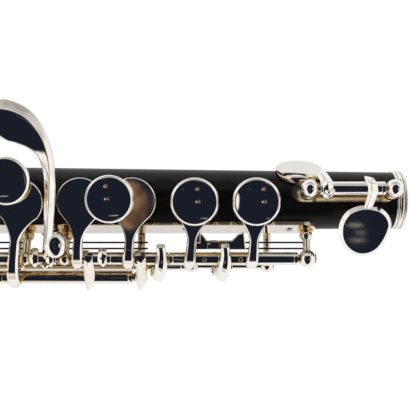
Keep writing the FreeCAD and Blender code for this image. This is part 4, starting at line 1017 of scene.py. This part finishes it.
def studioShell():
    # what the mirrors see: a dark opening overhead and pale walls around it, a little browner in places
    material, tree = newMaterial("studioShell", cleared=True)
    x, y, z = addNode(tree, "ShaderNodeSeparateXYZ", {"Vector": objectPlace(tree)}).outputs
    across = angleShare(tree, x, z, studio["openShift"], studio["openAcross"])
    along = angleShare(tree, y, z, studio["openLean"], studio["openAlong"])
    squared = [mathNode(tree, "POWER", mathNode(tree, "ABSOLUTE", side), studio["openSquare"])
               for side in (across, along)]
    ring = mathNode(tree, "POWER", mathNode(tree, "ADD", *squared), 1 / studio["openSquare"])
    edge = valueRange(tree, ring, 0.0, 1.0, *studio["openEdge"], "SMOOTHSTEP")
    cloud = noise(tree, objectPlace(tree), studio["cloudScale"], studio["cloudDetail"])
    walls = ramp(tree, cloud, studio["walls"])
    far = valueRange(tree, mathNode(tree, "DIVIDE", y, studio["shellRadius"]), 1.0, studio["farShade"],
                     studio["farFrom"], studio["farTo"])
    shaded = addNode(tree, "ShaderNodeVectorMath", {0: walls, "Scale": far}, operation="SCALE").outputs[0]
    mixed = addNode(tree, "ShaderNodeMix", {0: edge, 6: (*studio["openColor"], 1), 7: shaded},
                    data_type="RGBA").outputs[2]
    surfaceFrom(tree, emission(tree, mixed))
    return material


shell = bmesh.new()
bmesh.ops.create_uvsphere(shell, u_segments=64, v_segments=32, radius=studio["shellRadius"])
stageOnly = [stageObject("studioShell", shell, studioShell())]

# what the mirrors show besides: four small lamps, a bar, three streaks and a side window; at is the slope from
# the middle of the finger discs, and patchy is how dark the dim patches are
lamps = {
    "warmLampLow": {"at": (-0.122, -0.172), "size": (0.072, 0.09), "color": (0.30, 0.17, 0.10), "patchy": 0.75},
    "warmLampHigh": {"at": (-0.098, -0.49), "size": (0.08, 0.12), "color": (0.30, 0.16, 0.09), "patchy": 0.6},
    "paleLampLow": {"at": (-0.060, -0.165), "size": (0.045, 0.06), "color": (0.62, 0.55, 0.48), "patchy": 0.3},
    "paleLampHigh": {"at": (-0.06, -0.48), "size": (0.045, 0.06), "color": (0.70, 0.62, 0.55), "patchy": 0.3},
    "paleBar": {"at": (-0.28, 0.21), "size": (0.32, 0.02), "color": (0.45, 0.44, 0.42), "patchy": 0.4},
    "streakNear": {"at": (0.256, -0.476), "size": (0.03, 0.003), "color": (0.55, 0.52, 0.48), "patchy": 0.5},
    "streakMiddle": {"at": (0.268, -0.491), "size": (0.02, 0.0025), "color": (0.50, 0.50, 0.48), "patchy": 0.5},
    "streakFar": {"at": (0.264, -0.505), "size": (0.03, 0.003), "color": (0.50, 0.42, 0.35), "patchy": 0.5},
    "sideWindow": {"at": (0.62, -0.17), "size": (0.22, 0.55), "color": (0.95, 0.90, 0.82), "patchy": 0.1},
}
for name, lamp in lamps.items():
    disc = bmesh.new()
    bmesh.ops.create_circle(disc, cap_ends=True, segments=32, radius=1)
    disc.transform(Matrix.Diagonal((*lamp["size"], 1, 1)))
    away = Vector((*lamp["at"], 1)).normalized() * studio["shellRadius"] * studio["lampDistance"]
    disc.transform(Matrix.Translation(Vector((studio["lampCentre"], 0, 0)) + away))
    stageOnly.append(stageObject(name, disc, lampGlow(name, lamp["color"], lamp["patchy"])))
for thing in stageOnly:
    thing.visible_camera = False
    thing.visible_diffuse = False
    thing.visible_shadow = False

world = bpy.data.worlds.new("studioWorld")
bpy.context.scene.world = world
world.use_nodes = True
background = world.node_tree.nodes["Background"]
background.inputs["Color"].default_value = (1, 1, 1, 1)
background.inputs["Strength"].default_value = 1.0
print("studio set")
